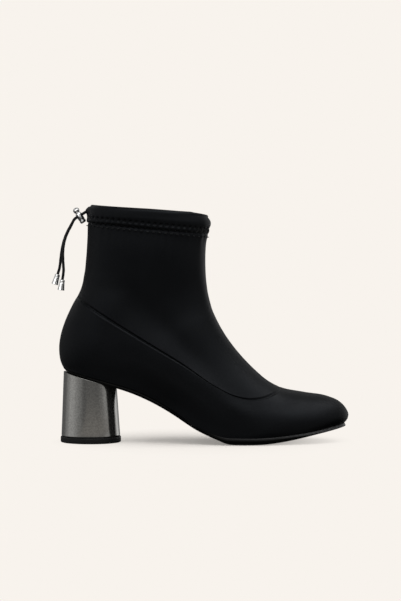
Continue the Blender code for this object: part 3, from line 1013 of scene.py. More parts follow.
def fabric_finish(settings):
    """Smooth stretch fabric: fine knit along the panels, and a soft cool sheen."""
    cloth = Finish("stretch_fabric", {"Specular IOR Level": 0.13, "Specular Tint": FABRIC_TINT})
    uv = cloth.uv("cloth")
    wales = cloth.waves("X", KNIT_WALE, uv, KNIT_WANDER)
    courses = cloth.waves("Y", KNIT_COURSE, uv, KNIT_WANDER)
    knit = cloth.math("ADD", wales, courses)
    mottle = cloth.noise(*MOTTLE_NOISE)
    tone = cloth.blend(mottle, *shaded(settings.fabric, MOTTLE_SHADES))
    rough = cloth.spread(mottle, *NOISE_RANGE, *FABRIC_ROUGH)
    fuzz = cloth.bump(cloth.noise(*FUZZ_NOISE), *FUZZ_RELIEF)
    return cloth.set(Base_Color=tone, Roughness=rough, Normal=cloth.bump(knit, *KNIT_RELIEF, fuzz))


def sole_edge_finish(settings):
    """Polished black edge of the sole, with a painted highlight: lighter towards the toe."""
    edge = Finish("sole_edge", {
        "Specular IOR Level": 0.22, "Coat Weight": 0.14, "Coat Roughness": 0.12})
    grain = edge.noise(*EDGE_NOISE)
    # Painted highlight: the edge's colour turns lighter towards the toe
    towards_toe = edge.spread(edge.split(edge.object_coords)["X"], *TOE_HIGHLIGHT_SPAN, 0.0, 1.0)
    tone = edge.blend(edge.math("MULTIPLY", towards_toe, grain), settings.edge, settings.toe_highlight)
    rough = edge.spread(grain, *NOISE_RANGE, *EDGE_ROUGH)
    return edge.set(Base_Color=tone, Roughness=rough, Normal=edge.bump(grain, *EDGE_RELIEF))


def heel_finish(settings):
    """Gunmetal coating with fine pearl grain under a clear coat."""
    metal = Finish("gunmetal", {"Metallic": 0.92, "Coat Weight": 0.2, "Coat Roughness": 0.1})
    pearl = metal.noise(*PEARL_NOISE)
    speck = metal.math("ADD", pearl, metal.noise(*CLOUD_NOISE))
    tone = metal.blend(metal.spread(speck, *SPECK_RANGE, 0.0, 1.0), settings.grain, settings.metal)
    rough = metal.spread(pearl, *NOISE_RANGE, *HEEL_ROUGH)
    return metal.set(Base_Color=tone, Roughness=rough, Normal=metal.bump(pearl, *HEEL_RELIEF))


def chrome_finish(settings):
    """Bright plated metal with faint handling marks."""
    chrome = Finish("bright_metal", {"Metallic": 1.0})
    marks = chrome.noise(*MARKS_NOISE)
    tone = chrome.blend(marks, *shaded(settings.metal, MARKS_SHADES))
    rough = chrome.spread(marks, *MARKS_RANGE, *MARKS_ROUGH)
    return chrome.set(Base_Color=tone, Roughness=rough, Normal=chrome.bump(marks, *MARKS_RELIEF))


# Upper

AROUND = 520
LOWER_LEVELS = np.concatenate([
    [0.0, 0.02, 0.05], np.linspace(0.09, 0.86, 27), np.linspace(0.872, 1.0, 17)])
SHAFT_LEVELS = np.concatenate([
    np.linspace(0.006, 0.072, 12), np.linspace(0.09, 0.925, 40), np.linspace(0.935, 1.0, 14)])
HEM_LEVELS = np.linspace(0.028, 0.84, 31)
ROLL_STEPS = 9
ROLL_HEIGHT = 2.5
INNER_STEP = 5
LINING_REACH = 5
FEATHER_EASE = 5.0
SIDE_EASE = 8.0
SEAM_STEP = 0.8
SEAM_WIDTH = 1.1
SEAM_AT_OUTLINE = 0.04
SEAM_FADE = 0.8
SEAM_ROLLS = (
    # from the seam, half width, height
    (-1.7, 1.0, 0.14),
    (1.7, 1.1, 0.10),
)
SEAM_SWELLS = (
    # from the seam, half width, height
    (-5.0, 20.0, 2.1),
    (40.0, 22.0, -1.5),
)
SWELL_FROM = 30.0
SWELL_TO = 158.0
SWELL_EASE = 40.0
HEM_PULL = 2.2
HEM_PULL_REACH = 13.0
HEM_STEP = 0.45
FRONT_DRAW = 2.4
FRONT_DRAW_REACH = 5.0
FRONT_ROUND = 2.2
FRONT_ROUND_FROM = 8.0
HEM_LINE_DEPTH = 0.75
HEM_LINE_WIDTH = 0.8
MARKS_AT_OUTLINE = 0.3
STITCH_PITCH = 4.4
HEM_MARKS = (
    # on the upper needle holes (0) or between them (1), share of the zigzag's rise, half widths
    # round and up, height
    (0, 1.0, 1.0, 1.1, -1.7),
    (1, -0.1, 1.0, 0.9, -1.2),
    (0, 0.42, 1.0, 0.9, 0.5),
    (0, -0.85, 1.0, 0.9, 0.4),
)
CHANNEL_MIDDLE = 8.6
CHANNEL_WIDTH = 4.4
CHANNEL_HEIGHT = 0.8
GATHERS = (
    # folds round the shaft, phase
    (23, 0.7),
    (31, 2.1),
    (37, 4.0),
)
GATHER_DEPTH = 0.07
GATHER_MIDDLE = 4.0
GATHER_REACH = 9.0
TROUGH_SHOULDER = 0.9
COLLAR_LEAN = 3.8
COLLAR_LEAN_FROM = 10.0
COLLAR_LIFT = 1.4
COLLAR_LIFT_PLACE = 122.0
COLLAR_LIFT_LENGTH = 14.0
SPOUT_OUT = 2.0
SPOUT_RISE = 9.3
SPOUT_TALL = 3.2
SPOUT_ROUND = 4.6


def base_skin():
    """Loops of the last from the sole to the collar, their outward normals, and the row of the
    seam and of the hem's edge."""
    rows = [("lower", level) for level in LOWER_LEVELS]
    rows += [("shaft", level) for level in SHAFT_LEVELS]
    rows += [("hem", level) for level in HEM_LEVELS]
    loops = np.array([last_loop(panel, level, AROUND) for panel, level in rows])
    round_step = np.roll(loops, -1, axis=1) - np.roll(loops, 1, axis=1)
    out = np.cross(round_step, np.gradient(loops, axis=0))
    out /= np.linalg.norm(out, axis=2, keepdims=True)
    from_top = np.linalg.norm(loops[-1] - loops, axis=2) + ROLL_HEIGHT
    lean = COLLAR_LEAN * np.clip(1 - from_top / COLLAR_LEAN_FROM, 0.0, 1.0) ** 2
    leaning = loops - out * (lean * out[..., 1] ** 2)[..., None]
    lift = COLLAR_LIFT * np.clip(1 - from_top / HEM_HEIGHT, 0.0, 1.0)
    leaning[..., 2] += lift * bell(loops[..., 0] - COLLAR_LIFT_PLACE, COLLAR_LIFT_LENGTH)
    seam_row = len(LOWER_LEVELS) - 1
    return leaning, out, seam_row, seam_row + len(SHAFT_LEVELS)


def climbs(loops, seam_row, hem_row):
    """Distance up each column from the sole, from the seam and from the hem's edge."""
    steps = np.linalg.norm(np.diff(loops, axis=0), axis=2)
    climb = np.concatenate([np.zeros((1, loops.shape[1])), np.cumsum(steps, axis=0)])
    return climb, climb - climb[seam_row], climb - climb[hem_row]


def at_side(out, least, power=2.0):
    """1 where the boot faces its side, and the least share where it faces front or back."""
    return least + (1 - least) * np.abs(out[..., 1]) ** power


def seam_relief(settings, out, climb, from_seam):
    """Lower panel standing proud, with a groove and two soft rolls at the seam."""
    relief = settings.seam_proud / MM * ease((SEAM_STEP - from_seam) / (2 * SEAM_STEP))
    relief = relief - settings.seam_depth / MM * bell(from_seam, SEAM_WIDTH)
    for place, width, height in SEAM_ROLLS:
        relief = relief + height * bell(from_seam - place, width)
    return relief * at_side(out, SEAM_AT_OUTLINE, SEAM_FADE) * ease(climb / FEATHER_EASE)


def hem_relief(settings, out, from_hem, from_top):
    """Turned hem, drawn in at the front, with its zigzag's dimples and the shaft's gathers."""
    front = np.clip(out[..., 0], 0.0, 1.0) ** 2
    drawn_in = front * FRONT_DRAW * bell(from_hem, FRONT_DRAW_REACH)
    rounded = front * FRONT_ROUND * np.clip(1 - from_top / FRONT_ROUND_FROM, 0.0, 1.0) ** 2
    step = ease((from_hem + HEM_STEP) / (2 * HEM_STEP))
    relief = step * (settings.hem_proud / MM - drawn_in - rounded)
    phase = settings.stitches * np.arange(AROUND) / AROUND
    rows = (phase - np.round(phase), phase - np.floor(phase) - 0.5)
    marks = -HEM_LINE_DEPTH * bell(from_hem + HEM_LINE_WIDTH, HEM_LINE_WIDTH)
    for row, rise, width, tall, height in HEM_MARKS:
        up = from_hem - rise * settings.stitch_rise / MM
        marks = marks + height * bell(rows[row] * STITCH_PITCH, width) * bell(up, tall)
    relief = relief + marks * at_side(out, MARKS_AT_OUTLINE)
    relief = relief + CHANNEL_HEIGHT * bell(from_hem - CHANNEL_MIDDLE, CHANNEL_WIDTH)
    turns = 2 * math.pi * np.arange(AROUND) / AROUND
    ripple = sum(np.cos(folds * turns + start) for folds, start in GATHERS)
    fading = np.exp(-np.abs(from_hem + GATHER_MIDDLE) / GATHER_REACH)
    return relief + GATHER_DEPTH * ripple * fading


def spout_relief(loops, out, from_hem):
    """The hem drawn out at the back, where the cord leaves it."""
    behind = np.clip(-out[..., 0], 0.0, 1.0)
    round_back = bell(loops[..., 1] - middle_y(loops[..., 0]), SPOUT_ROUND)
    return SPOUT_OUT * behind * round_back * bell(from_hem - SPOUT_RISE, SPOUT_TALL)


def laid_along(loops, x, z, angle):
    """Distances along and across a line that lies at an angle on the side view."""
    turn = math.radians(angle)
    dx = loops[..., 0] - x
    dz = loops[..., 2] - z
    return dx * math.cos(turn) + dz * math.sin(turn), dz * math.cos(turn) - dx * math.sin(turn)


def side_relief(loops, out, from_seam, from_hem):
    """Fullness and hollows of the two sides, which leave the boot's outline alone."""
    relief = -HEM_PULL * np.where(from_hem < 0.0, bell(from_hem, HEM_PULL_REACH), 1.0)
    x = loops[..., 0]
    along_seam = ease((x - SWELL_FROM) / SWELL_EASE) * ease((SWELL_TO - x) / SWELL_EASE)
    for place, width, height in SEAM_SWELLS:
        relief = relief + height * along_seam * bell(from_seam - place, width)
    for place, level, angle, length, width, height in FULLNESS:
        along, across = laid_along(loops, place, level, angle)
        relief = relief + height * bell(along, length) * bell(across, width)
    return relief * out[..., 1] ** 2


def crease_relief(loops):
    """Soft troughs with low shoulders, where the fabric bends."""
    relief = np.zeros(loops.shape[:2])
    for x, z, angle, length, width, depth in CREASES:
        along, across = laid_along(loops, x, z, angle)
        across = across / width
        relief -= depth * (1 - TROUGH_SHOULDER * across ** 2) * bell(across, 1.0) * bell(along, length)
    return relief


def upper_skin(settings):
    """Outer loops of the upper with all their relief, and what the other pieces need of them."""
    loops, out, seam_row, hem_row = base_skin()
    climb, from_seam, from_hem = climbs(loops, seam_row, hem_row)
    from_top = climb[-1] - climb + ROLL_HEIGHT
    relief = seam_relief(settings, out, climb, from_seam)
    relief = relief + hem_relief(settings, out, from_hem, from_top)
    sides = side_relief(loops, out, from_seam, from_hem) * ease(climb / FEATHER_EASE)
    relief = relief + sides * ease(from_top / SIDE_EASE) + crease_relief(loops)
    relief = relief + spout_relief(loops, out, from_hem)
    return loops, out, loops + out * relief[..., None], from_hem, hem_row


def collar_roll(top, out, up, outside, inside):
    """Rings of the collar's rounded fold, from its outside to its inside."""
    middle = (outside + inside) / 2
    radius = (outside - inside) / 2
    turns = np.linspace(0.0, math.pi, ROLL_STEPS + 2)[1:-1]
    return np.array([
        top + out * (middle + radius * math.cos(turn)) + up * (ROLL_HEIGHT * math.sin(turn))
        for turn in turns])


def lining_depth(relief, picked):
    """How far the lining's rings give way, so that no dimple of the outside comes through them."""
    sunk = np.maximum(-relief, 0.0)
    near = np.max([np.roll(sunk, k, axis=1) for k in range(-LINING_REACH, LINING_REACH + 1)], axis=0)
    depth = [near[max(row - INNER_STEP, 0):row + INNER_STEP + 1].max(axis=0) for row in picked]
    depth[0] = sunk[picked[0]]
    return np.array(depth)


def cloth_uv(mesh, rings):
    """UV map in metres: round the boot, and up the outside and down the inside."""
    rounds = np.linalg.norm(np.roll(rings, -1, axis=1) - rings, axis=2)
    around = np.concatenate([np.zeros((len(rings), 1)), np.cumsum(rounds, axis=1)], axis=1)
    following = np.roll(rings, -1, axis=0)
    climb = np.concatenate([[0.0], np.cumsum(np.linalg.norm(following - rings, axis=2).mean(axis=1))])
    rows, count = rings.shape[:2]
    column = np.arange(count)
    corners = []
    for low in range(rows):
        high = (low + 1) % rows
        quad = [(around[low][column], climb[low]), (around[low][column + 1], climb[low]),
                (around[high][column + 1], climb[low + 1]), (around[high][column], climb[low + 1])]
        corners.append(np.stack(
            [np.stack([u, np.full(count, v)], axis=-1) for u, v in quad], axis=1))
    layer = mesh.uv_layers.new(name="cloth")
    layer.data.foreach_set("uv", (np.concatenate(corners) * MM).astype(np.float32).ravel())


class BOOT_OT_upper(bpy.types.Operator):
    """Makes the hollow upper, with its seam, hem, creases and lining"""
    bl_idname = "boot.upper"
    bl_label = "Make the upper"

    def execute(self, context):
        settings = context.scene.boot_upper
        wall = settings.wall / MM
        loops, out, outer, _, hem_row = upper_skin(settings)
        up = loops[-1] - loops[-2]
        up /= np.linalg.norm(up, axis=1, keepdims=True)
        start = float(np.mean(np.sum((outer[-1] - loops[-1]) * out[-1], axis=1)))
        roll = collar_roll(loops[-1], out[-1], up, start, -wall)
        picked = list(range(len(loops) - 1, -1, -INNER_STEP))
        if picked[-1]:
            picked.append(0)
        depth = lining_depth(np.sum((outer - loops) * out, axis=2), picked)
        inner = loops[picked] - out[picked] * (wall + depth)[..., None]
        rings = np.concatenate([outer, roll, inner])
        faces = ring_faces(len(rings), AROUND, closed=True)
        mesh = new_mesh("upper_skin", to_frame(rings.reshape(-1, 3)), faces)
        cloth_uv(mesh, rings)
        turned_in = len(outer) + len(roll) + sum(row > hem_row for row in picked)
        finish = np.zeros(len(faces), np.int32)
        finish[turned_in * AROUND:] = 1
        mesh.polygons.foreach_set("material_index", finish)
        materials = [fabric_finish(settings), grained_finish("lining", settings.lining)]
        add_piece("upper_skin", mesh, materials, "stretch_fabric", "upper")
        return {"FINISHED"}


# Stitches of the hem

LOWER_NEEDLE = -0.3
LOOP_ROW = -3.2
LOOP_LENGTH = 1.9
STITCH_OUT = 0.35
STITCH_ARCH = 0.0009
STITCH_STEPS = 6
THREAD_SIDES = 8


def stitch_tree(material):
    """Geometry Nodes tree that lays one bar of thread on each point, along its own direction."""
    tree = bpy.data.node_groups.new("zigzag_stitches", "GeometryNodeTree")
    tree.interface.new_socket("Geometry", in_out="INPUT", socket_type="NodeSocketGeometry")
    for size in ("Thread", "Arch"):
        tree.interface.new_socket(size, in_out="INPUT", socket_type="NodeSocketFloat")
    tree.interface.new_socket("Geometry", in_out="OUTPUT", socket_type="NodeSocketGeometry")

    node = Nodes(tree).node
    given = node("NodeGroupInput").outputs
    arch = node("ShaderNodeCombineXYZ", {"Z": given["Arch"]})
    bar = node("GeometryNodeCurveQuadraticBezier", {
        "Resolution": STITCH_STEPS,
        "Start": (-0.5, 0.0, 0.0), "Middle": arch.outputs[0], "End": (0.5, 0.0, 0.0)})
    half = node("ShaderNodeMath", {0: given["Thread"], 1: 0.5}, operation="MULTIPLY")
    profile = node("GeometryNodeCurvePrimitiveCircle", {
        "Resolution": THREAD_SIDES, "Radius": half.outputs[0]})
    thread = node("GeometryNodeCurveToMesh", {
        "Curve": bar.outputs["Curve"], "Profile Curve": profile.outputs["Curve"], "Fill Caps": True})
    along, out, span = [
        node("GeometryNodeInputNamedAttribute", {"Name": name}, data_type=kind).outputs["Attribute"]
        for name, kind in (("along", "FLOAT_VECTOR"), ("out", "FLOAT_VECTOR"), ("span", "FLOAT"))]
    turn = node(
        "FunctionNodeAxesToRotation", {"Primary Axis": out, "Secondary Axis": along},
        primary_axis="Z", secondary_axis="X")
    scale = node("ShaderNodeCombineXYZ", {"X": span, "Y": 1.0, "Z": 1.0})
    laid = node("GeometryNodeInstanceOnPoints", {
        "Points": given["Geometry"], "Instance": thread.outputs["Mesh"],
        "Rotation": turn.outputs["Rotation"], "Scale": scale.outputs[0]})
    real = node("GeometryNodeRealizeInstances", {"Geometry": laid.outputs["Instances"]})
    smooth = node("GeometryNodeSetShadeSmooth", {"Geometry": real.outputs["Geometry"]})
    painted = node("GeometryNodeSetMaterial", {
        "Geometry": smooth.outputs["Geometry"], "Material": material})
    node("NodeGroupOutput", {"Geometry": painted.outputs["Geometry"]})
    return tree


def set_inputs(modifier, values):
    """Sets a Geometry Nodes modifier's inputs, found by name, through their identifiers."""
    for item in modifier.node_group.interface.items_tree:
        if item.item_type == "SOCKET" and item.in_out == "INPUT" and item.name in values:
            modifier[item.identifier] = values[item.name]


def point_cloud(name, places, vectors, numbers):
    """An object of loose points, with vector and number attributes."""
    mesh = bpy.data.meshes.new(name)
    mesh.from_pydata([tuple(p) for p in places], [], [])
    for key, rows in vectors.items():
        layer = mesh.attributes.new(key, "FLOAT_VECTOR", "POINT")
        layer.data.foreach_set("vector", np.asarray(rows, np.float32).ravel())
    for key, row in numbers.items():
        layer = mesh.attributes.new(key, "FLOAT", "POINT")
        layer.data.foreach_set("value", np.asarray(row, np.float32))
    return add_object(name, mesh)


def at_height(height, lines, from_hem, column):
    """One column's place or normal, at a height above the hem's edge."""
    return np.array([np.interp(height, from_hem[:, column], line) for line in lines[:, column].T])


def zigzag_bars(settings, out, outer, from_hem):
    """Middle, span and normal of each bar of the zigzag, between its needle holes."""
    half = AROUND // settings.stitches // 2
    holes = [(k * half, LOWER_NEEDLE if k % 2 else settings.stitch_rise / MM)
             for k in range(2 * settings.stitches)]
    places = np.array([at_height(height, outer, from_hem, column) for column, height in holes])
    normals = np.array([at_height(height, out, from_hem, column) for column, height in holes])
    following = np.roll(places, -1, axis=0)
    return (places + following) / 2, following - places, normals + np.roll(normals, -1, axis=0)


def loop_bars(settings, out, outer, from_hem):
    """Middle, span and normal of each short loop of thread in the row under the hem."""
    step = AROUND // settings.stitches
    columns_used = np.arange(settings.stitches) * step
    ends = [np.array([at_height(LOOP_ROW, outer, from_hem, (column + to) % AROUND)
                      for column in columns_used]) for to in (-1, 1)]
    normals = np.array([at_height(LOOP_ROW, out, from_hem, column) for column in columns_used])
    span = ends[1] - ends[0]
    span *= LOOP_LENGTH / np.linalg.norm(span, axis=1, keepdims=True)
    return (ends[0] + ends[1]) / 2, span, normals


class BOOT_OT_stitches(bpy.types.Operator):
    """Makes the zigzag stitches and the short loops of thread that hold the hem"""
    bl_idname = "boot.stitches"
    bl_label = "Make the hem's stitches"

    def execute(self, context):
        settings = context.scene.boot_upper
        _, out, outer, from_hem, _ = upper_skin(settings)
        rows = [bars(settings, out, outer, from_hem) for bars in (zigzag_bars, loop_bars)]
        middle, span, out = [np.concatenate(parts) for parts in zip(*rows)]
        length = np.linalg.norm(span, axis=1)
        out /= np.linalg.norm(out, axis=1, keepdims=True)
        middle += out * STITCH_OUT
        holder = point_cloud("stitch_points", to_frame(middle), {"along": span, "out": out},
                             {"span": length * MM})
        modifier = holder.modifiers.new("stitches", "NODES")
        modifier.node_group = stitch_tree(grained_finish("sewing_thread", settings.thread_colour))
        set_inputs(modifier, {"Thread": settings.thread, "Arch": STITCH_ARCH})
        mesh = evaluated_mesh(holder, "hem_stitches")
        add_piece("hem_stitches", mesh, [], "stretch_fabric")
        return {"FINISHED"}


# Sole and footbed

SOLE_AROUND = 420
FOOTBED_AROUND = 260
EDGE_SMOOTH = math.radians(50.0)


class BOOT_OT_outsole(bpy.types.Operator):
    """Makes the sole, with its polished edge and pebbled tread"""
    bl_idname = "boot.outsole"
    bl_label = "Make the outsole"

    def execute(self, context):
        settings = context.scene.boot_sole
        x = last_loop("lower", 0.0, SOLE_AROUND)[:, 0]
        edge = np.interp(x, *columns(SOLE_EDGE))
        bevel = np.interp(x, *columns(SOLE_BEVEL))
        along, *changes = columns(SOLE_SHAPE)
        edge_rise, tread_rise, lean, power = [through(along, row, x) for row in changes]
        rings = []
        for inset, share, lift, risen in SOLE_PROFILE:
            if SOLE_WIDEST < share < 1.0 or (share == 1.0 and risen):
                inset = inset * lean
            rounding = inset * (1 - bevel) if share else inset
            plan = plan_loop(rounding + BEVEL_DEPTH * bevel * (1 - share) - edge, SOLE_AROUND)
            height = sole_bottom(plan[:, 0]) + share ** power * sole_thickness(plan[:, 0])
            height = height + lift + edge_rise * risen + np.maximum(tread_rise, 0.0) * (1 - risen)
            rings.append(np.column_stack([plan, height]))
        rings = np.array(rings)
        faces = slab_faces(len(rings), SOLE_AROUND)
        places = to_frame(rings.reshape(-1, 3))
        mesh = closed_mesh("outsole_rubber", places, faces, EDGE_SMOOTH)
        finish = np.zeros(len(faces), np.int32)
        finish[:SOLE_BOTTOM_ROWS * SOLE_AROUND] = 1
        bottom = (len(rings) - 1) * SOLE_AROUND
        finish[bottom:bottom + SOLE_AROUND // 2] = 1
        mesh.polygons.foreach_set("material_index", finish)
        materials = [sole_edge_finish(settings), grained_finish("sole_tread", settings.tread)]
        add_piece("outsole_rubber", mesh, materials, "sole_rubber", "outsole")
        return {"FINISHED"}


class BOOT_OT_insole(bpy.types.Operator):
    """Makes the padded footbed inside the upper"""
    bl_idname = "boot.insole"
    bl_label = "Make the footbed"

    def execute(self, context):
        settings = context.scene.boot_sole
        rings = []
        for inset, height in INSOLE_PROFILE:
            plan = plan_loop(INSOLE_INSET + inset, FOOTBED_AROUND)
            rings.append(np.column_stack([plan, sole_top(plan[:, 0]) + FIT + height]))
        rings = np.array(rings)
        faces = slab_faces(len(rings), FOOTBED_AROUND)
        mesh = outward(new_mesh("footbed", to_frame(rings.reshape(-1, 3)), faces))
        cover = grained_finish("footbed_cover", settings.footbed)
        piece = add_piece("footbed", mesh, [cover], "insole_lining", "insole")
        return {"FINISHED"}


# Heel

HEEL_SIDES = 160


def oval_column(name, low_oval, high_oval, low, high, profile, grow=0.0):
    """A closed column between two ovals, its heights functions of x, with rounded edges."""
    turn = np.arange(HEEL_SIDES) * 2 * math.pi / HEEL_SIDES
    rings = []
    for share, lift, inset in profile:
        back, front, half = [a + (b - a) * share for a, b in zip(low_oval, high_oval)]
        x = (back + front) / 2 + ((front - back) / 2 + grow - inset) * np.cos(turn)
        y = (half + grow - inset) * np.sin(turn)
        z = low(x) + (high(x) - low(x)) * share + lift
        rings.append(np.column_stack([x, y, z]))
    rings = np.array(rings)
    faces = tube_faces(len(rings), HEEL_SIDES)
    return closed_mesh(name, to_frame(rings.reshape(-1, 3)), faces, EDGE_SMOOTH)


class BOOT_OT_heel(bpy.types.Operator):
    """Makes the metal-finished heel column and its rubber top piece"""
    bl_idname = "boot.heel"
    bl_label = "Make the heel"

    def execute(self, context):
        settings = context.scene.boot_heel
        column = oval_column(
            "heel_column", HEEL_FLOOR, HEEL_SEAT,
            lambda x: np.full(len(x), TOP_PIECE_THICK + FIT), lambda x: sole_bottom(x) - FIT,
            HEEL_PROFILE)
        add_piece("heel_column", column, [heel_finish(settings)], "heel_finish", "heel_block")
        tread = oval_column(
            "heel_rubber", HEEL_FLOOR, HEEL_FLOOR,
            lambda x: np.zeros(len(x)), lambda x: np.full(len(x), TOP_PIECE_THICK),
            TOP_PIECE_PROFILE, TOP_PIECE_RIM)
        rubber = grained_finish("top_piece_rubber", settings.rubber)
        add_piece("heel_rubber", tread, [rubber], "top_piece_rubber", "heel_top_piece")
        return {"FINISHED"}


# Drawcord

LOCK_SIDES = 72
HOLE_SIDES = 40
BELL_SIDES = 56
TAIL_POINTS = 260
TAIL_SIDES = 24
BRAID_STRANDS = 6
BRAID_TURN = 0.0052
CORD_SMOOTH = math.radians(60.0)
LOCK_SMOOTH = math.radians(32.0)


def lock_axes():
    """The tails' direction through the lock, and the barrel's axis up to its head."""
    tails = np.array((-math.sin(LOCK_LEAN), 0.0, -math.cos(LOCK_LEAN)))
    return tails, np.array((-math.cos(LOCK_LEAN), 0.0, math.sin(LOCK_LEAN)))


def tail_route(which):
    """Points of one tail on the last, from the hem through the lock to its bell."""
    tails, _ = lock_axes()
    side = -CORD_SPREAD if which == "near" else CORD_SPREAD
    centre = np.array((LOCK_CENTRE[0], side, LOCK_CENTRE[1]))
    through_lock = [centre + tails * along for along in (-TAIL_START, 0.0, TAIL_LEAVES)]
    return np.array([*through_lock, *TAIL_ROUTES[which]])


def braided_tube(name, path, diameter, braid):
    """A closed tube along a path, with the crossing strands of a braid in its surface."""
    along = np.gradient(path, axis=0)
    along /= np.linalg.norm(along, axis=1, keepdims=True)
    side = np.cross(along, (0.0, 1.0, 0.0))
    side /= np.linalg.norm(side, axis=1, keepdims=True)
    up = np.cross(side, along)
    lengths = np.concatenate([[0.0], np.cumsum(np.linalg.norm(np.diff(path, axis=0), axis=1))])
    turn = np.arange(TAIL_SIDES) * 2 * math.pi / TAIL_SIDES
    wind = 2 * math.pi * lengths[:, None] / BRAID_TURN
    strands = BRAID_STRANDS / 2 * turn[None, :]
    relief = np.maximum(np.cos(strands + wind), np.cos(strands - wind))
    radius = (diameter / 2 - braid * (1 - relief) / 2)[..., None]
    rings = path[:, None] + radius * (
        np.cos(turn)[None, :, None] * side[:, None] + np.sin(turn)[None, :, None] * up[:, None])
    return closed_mesh(name, rings.reshape(-1, 3), tube_faces(len(path), TAIL_SIDES), CORD_SMOOTH)


def lock_mesh():
    """The barrel with a hole for each tail."""
    tails, axis = lock_axes()
    barrel = turned_mesh("lock_barrel", LOCK_PROFILE, LOCK_SIDES)
    barrel.transform(Matrix.Diagonal((1.0, LOCK_WIDEN, 1.0, 1.0)))
    barrel.transform(aim(axis, (LOCK_CENTRE[0], 0.0, LOCK_CENTRE[1])))
    holder = add_object("lock_holder", barrel)
    half = HOLE_LENGTH / 2
    rod = ((half, 0.0), (half, CORD_HOLE / 2), (-half, CORD_HOLE / 2), (-half, 0.0))
    drills = []
    for side in (-CORD_SPREAD, CORD_SPREAD):
        mesh = turned_mesh("lock_drill", rod, HOLE_SIDES)
        mesh.transform(aim(tails, (LOCK_CENTRE[0], side, LOCK_CENTRE[1])))
        drill = add_object("lock_drill", mesh)
        hole = holder.modifiers.new("hole", "BOOLEAN")
        hole.operation = "DIFFERENCE"
        hole.object = drill
        drills.append(drill)
    mesh = evaluated_mesh(holder, "cord_barrel")
    for drill in drills:
        bpy.data.objects.remove(drill)
    mesh.shade_smooth()
    mesh.set_sharp_from_angle(angle=LOCK_SMOOTH)
    return mesh


def bell_mesh(which):
    """The bell on the end of one tail."""
    route = tail_route(which)
    along = line_through(route, np.array([BELL_AIM_SHARE]))[0] - route[-1]
    along /= np.linalg.norm(along)
    mesh = turned_mesh(f"cord_bell_{which}", BELL_PROFILE, BELL_SIDES)
    mesh.transform(aim(along, route[-1] - along * (BELL_SOCKET + FIT)))
    mesh.set_sharp_from_angle(angle=EDGE_SMOOTH)
    return mesh


class BOOT_OT_drawcord(bpy.types.Operator):
    """Makes the drawcord's two braided tails, its lock and the bells on its ends"""
    bl_idname = "boot.drawcord"
    bl_label = "Make the drawcord"

    def execute(self, context):
        settings = context.scene.boot_cord
        braid = grained_finish("cord_braid", settings.cord)
        chrome = chrome_finish(settings)
        lock = add_piece("cord_barrel", lock_mesh(), [chrome], "polished_metal", "cord_lock")
        metal = [lock]
        for which in TAIL_ROUTES:
            path = to_frame(line_through(tail_route(which), np.linspace(0.0, 1.0, TAIL_POINTS)))
            mesh = braided_tube(f"cord_{which}", path, settings.diameter, settings.braid)
            tail = add_piece(f"cord_{which}", mesh, [braid], "cord_braid", f"cord_tail_{which}")
            bell_piece = add_piece(
                f"cord_bell_{which}", bell_mesh(which), [chrome], "polished_metal",
                f"cord_end_{which}")
            metal.append(bell_piece)
        metal_panel(context.scene.boot_stage, metal)
        return {"FINISHED"}


# Stage

FLOOR_HALF = 6.0
SHADOW_NEAR = 0.045
SHADOW_FAR = 0.13
FLOOR_LIGHT_SHARE = 0.28
FLOOR_ALBEDO = 1.18
FLOOR_BOUNCE = 0.36
BOUNCE_NEAR = 0.22
BOUNCE_FAR = 0.6
BOUNCE_LEFT = (-0.200, -0.160)
BOUNCE_FRONT = (-0.10, -0.055)
BOUNCE_TOE = 0.045
# Reach of the floor's painted shadow under the arch, for all rays but the camera's
ARCH_BACK = (-0.085, -0.07)
ARCH_SIDE = (0.022, 0.034)
LOW_BAND = (-25.0, -9.0, 10.0, 24.0)
LOW_TURN = (
    # degrees from the front, to the right; light
    (-180.0, 0.03),
    (-150.0, 0.05),
    (-128.0, 0.08),
    (-106.0, 0.25),
    (-89.0, 0.40),
    (-74.0, 0.38),
    (-60.0, 0.28),
    (-47.0, 0.20),
    (-23.0, 0.07),
    (35.0, 0.07),
    (56.0, 0.16),
    (66.0, 0.30),
    (80.0, 0.28),
    (89.0, 0.16),
    (97.0, 0.0),
    (107.0, 0.0),
    (116.0, 0.12),
    (134.0, 0.70),
    (150.0, 0.30),
    (164.0, 0.07),
    (180.0, 0.03),
)
MID_BAND = (11.0, 21.0, 42.0, 54.0)
MID_TURN = (
    # degrees from the front, to the right; light
    (-180.0, 0.6),
    (-120.0, 0.6),
    (-90.0, 0.4),
    (-40.0, 1.0),
    (30.0, 1.0),
    (90.0, 0.3),
    (180.0, 0.3),
)
HIGH_BAND = (42.0, 55.0, 72.0, 84.0)
HIGH_TURN = (
    # degrees from the front, to the right; light
    (-180.0, 0.0),
    (-80.0, 0.0),
    (-30.0, 0.75),
    (30.0, 0.8),
    (80.0, 1.0),
    (120.0, 0.9),
    (150.0, 0.0),
    (180.0, 0.0),
)
PANEL_PLACE = (-1.7, -2.2, 0.5)
PANEL_AIM = (-0.11, 0.0, 0.16)
PANEL_SIZE = (2.6, 2.0)


def stand(thing, place, target):
    """Puts a camera or a light at a place, turned to a target, and gives the distance."""
    sight = Vector(target) - Vector(place)
    thing.location = place
    thing.rotation_euler = sight.to_track_quat("-Z", "Y").to_euler()
    return sight.length


def metal_panel(settings, pieces):
    """A white panel in front, at the left, that only the given pieces see."""
    data = bpy.data.lights.new("metal_panel", "AREA")
    data.shape = "RECTANGLE"
    data.size, data.size_y = PANEL_SIZE
    data.energy = settings.metal_light
    panel = add_object("metal_panel", data)
    stand(panel, PANEL_PLACE, PANEL_AIM)
    panel.visible_camera = False
    lit = bpy.data.collections.new("bright_metal")
    for piece in pieces:
        lit.objects.link(piece)
    panel.light_linking.receiver_collection = lit


